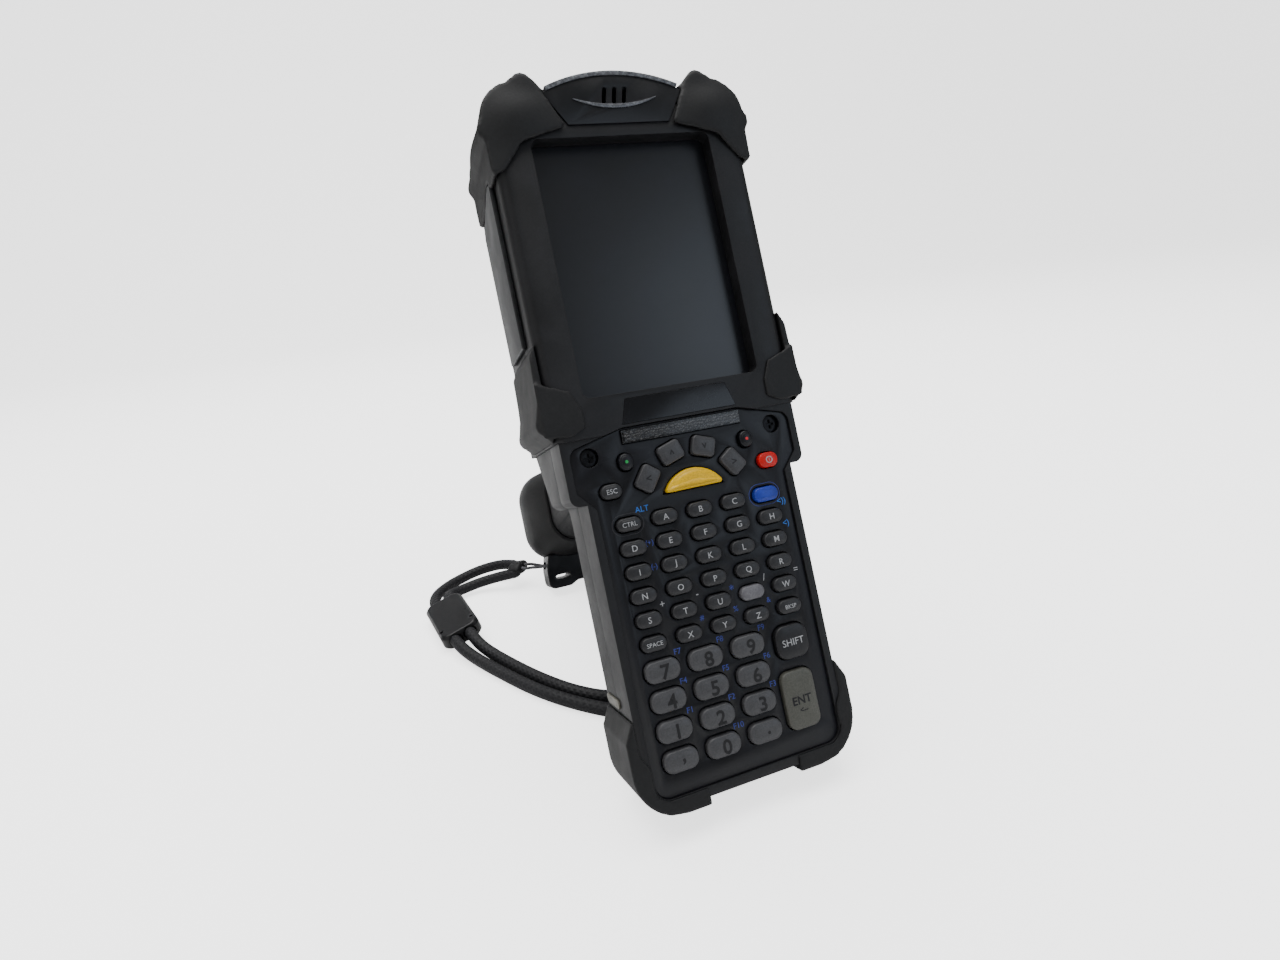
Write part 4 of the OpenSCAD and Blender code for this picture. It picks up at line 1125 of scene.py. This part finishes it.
    def build(self) -> None:
        """Make every key and legend."""
        self.letter_rows()
        self.digit_rows()
        self.special_keys()
        self.face_print()
        LOG.info("keypad: %d pieces", len(self.pieces))


# ---------------------------------------------------------------- studio


@dataclass
class Studio:
    """Camera, soft lights, a white paper sweep and pale surroundings."""

    lens: float = 20.39
    sensor: float = 36.0
    eye: tuple = (-0.08787, -0.27770, 0.17662)
    forward: tuple = (0.31207, 0.89726, -0.31229)
    right: tuple = (0.93076, -0.35466, -0.08890)
    down: tuple = (-0.19052, -0.26293, -0.94582)
    bend_start: float = 1.6
    bend_radius: float = 1.0
    bend_steps: int = 24
    near_edge: float = -4.0
    wall_top: float = 5.0
    half_width: float = 14.0
    glow: float = 2.0
    world_light: float = 0.28
    aim_height: float = 0.1

    def camera(self) -> None:
        """Set the camera from its eye point and its three directions."""
        data = bpy.data.cameras.new("studio_camera")
        data.lens, data.sensor_width, data.clip_start = self.lens, self.sensor, 0.01
        camera = bpy.data.objects.new("studio_camera", data)
        turn = Matrix([self.right, [-x for x in self.down], [-x for x in self.forward]]).transposed()
        camera.matrix_world = Matrix.Translation(self.eye) @ turn.to_4x4()
        bpy.context.scene.collection.objects.link(camera)
        bpy.context.scene.camera = camera

    def lights(self) -> None:
        """Three large soft lights that face the device's middle."""
        for name, place, size, power, tone in (
            ("top_light", (-0.15, 0.25, 1.7), 1.8, 52.0, (1.0, 1.0, 1.0)),
            ("key_light", (-1.0, -0.45, 0.75), 0.9, 2.2, (1.0, 1.0, 1.0)),
            ("fill_light", (0.75, -0.95, 0.62), 0.7, 3.0, (0.72, 0.84, 1.0)),
        ):
            data = bpy.data.lights.new(name, "AREA")
            data.size, data.energy, data.color = size, power, tone
            lamp = bpy.data.objects.new(name, data)
            away = np.array(place) - np.array([0, 0, self.aim_height])
            away /= np.linalg.norm(away)
            side = np.cross([0, 0, 1.0], away)
            side /= np.linalg.norm(side)
            aim = Matrix([side, np.cross(away, side), away]).transposed()
            lamp.matrix_world = Matrix.Translation(place) @ aim.to_4x4()
            bpy.context.scene.collection.objects.link(lamp)

    def paper(self) -> bpy.types.Material:
        """White matt paper that looks brighter to the eye than it lights the device."""
        made = bpy.data.materials.new("white_studio_paper")
        made.use_nodes = True
        tree = made.node_tree
        tree.nodes.clear()
        seen = add_node(tree, "ShaderNodeLightPath")
        glow = remap(tree, seen.outputs["Is Camera Ray"], (0.0, 1.0), (0.0, self.glow))
        shader = add_node(
            tree,
            "ShaderNodeBsdfPrincipled",
            {"Emission Strength": glow},
            {"Base Color": srgb("#f2f2f2"), "Roughness": 0.9, "Emission Color": (1, 1, 1, 1)},
        )
        add_node(tree, "ShaderNodeOutputMaterial", {"Surface": shader.outputs["BSDF"]})
        return made

    def floor(self) -> None:
        """A sweep of paper: flat at z = 0, then a quarter circle up into a wall behind the device."""
        turn = np.linspace(0, np.pi / 2, self.bend_steps)
        wall = self.bend_start + self.bend_radius
        y = np.concatenate([[self.near_edge], self.bend_start + self.bend_radius * np.sin(turn), [wall]])
        z = np.concatenate([[0.0], self.bend_radius * (1 - np.cos(turn)), [self.wall_top]])
        points = np.array([[x, b, c] for b, c in zip(y, z) for x in (-self.half_width, self.half_width)])
        faces = [(2 * i, 2 * i + 1, 2 * i + 3, 2 * i + 2) for i in range(len(y) - 1)]
        sweep = make_piece("studio_floor", points, faces, [])
        sweep.data.materials.append(self.paper())

    def surroundings(self) -> None:
        """A plain pale world, bright to look at and dimmer as a light."""
        world = bpy.data.worlds.new("studio_world")
        world.use_nodes = True
        tree = world.node_tree
        tree.nodes.clear()
        seen = add_node(tree, "ShaderNodeLightPath")
        strength = remap(tree, seen.outputs["Is Camera Ray"], (0.0, 1.0), (self.world_light, 1.0 + self.glow))
        sky = add_node(tree, "ShaderNodeBackground", {"Strength": strength}, {"Color": (1, 1, 1, 1)})
        add_node(tree, "ShaderNodeOutputWorld", {"Surface": sky.outputs["Background"]})
        bpy.context.scene.world = world

    def build(self) -> None:
        """Set up the whole studio."""
        self.camera()
        self.lights()
        self.floor()
        self.surroundings()


def main() -> None:
    """Build the studio and each sub-assembly in order."""
    logging.basicConfig(level=logging.INFO, format="%(name)s %(message)s")
    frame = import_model()
    Studio().build()
    for part in (Strap(frame), Body(frame), Grip(frame), Keypad(frame)):
        part.build()
        for piece in part.pieces:
            LOG.info("piece %s", piece.name)


if __name__ == "__main__":
    main()
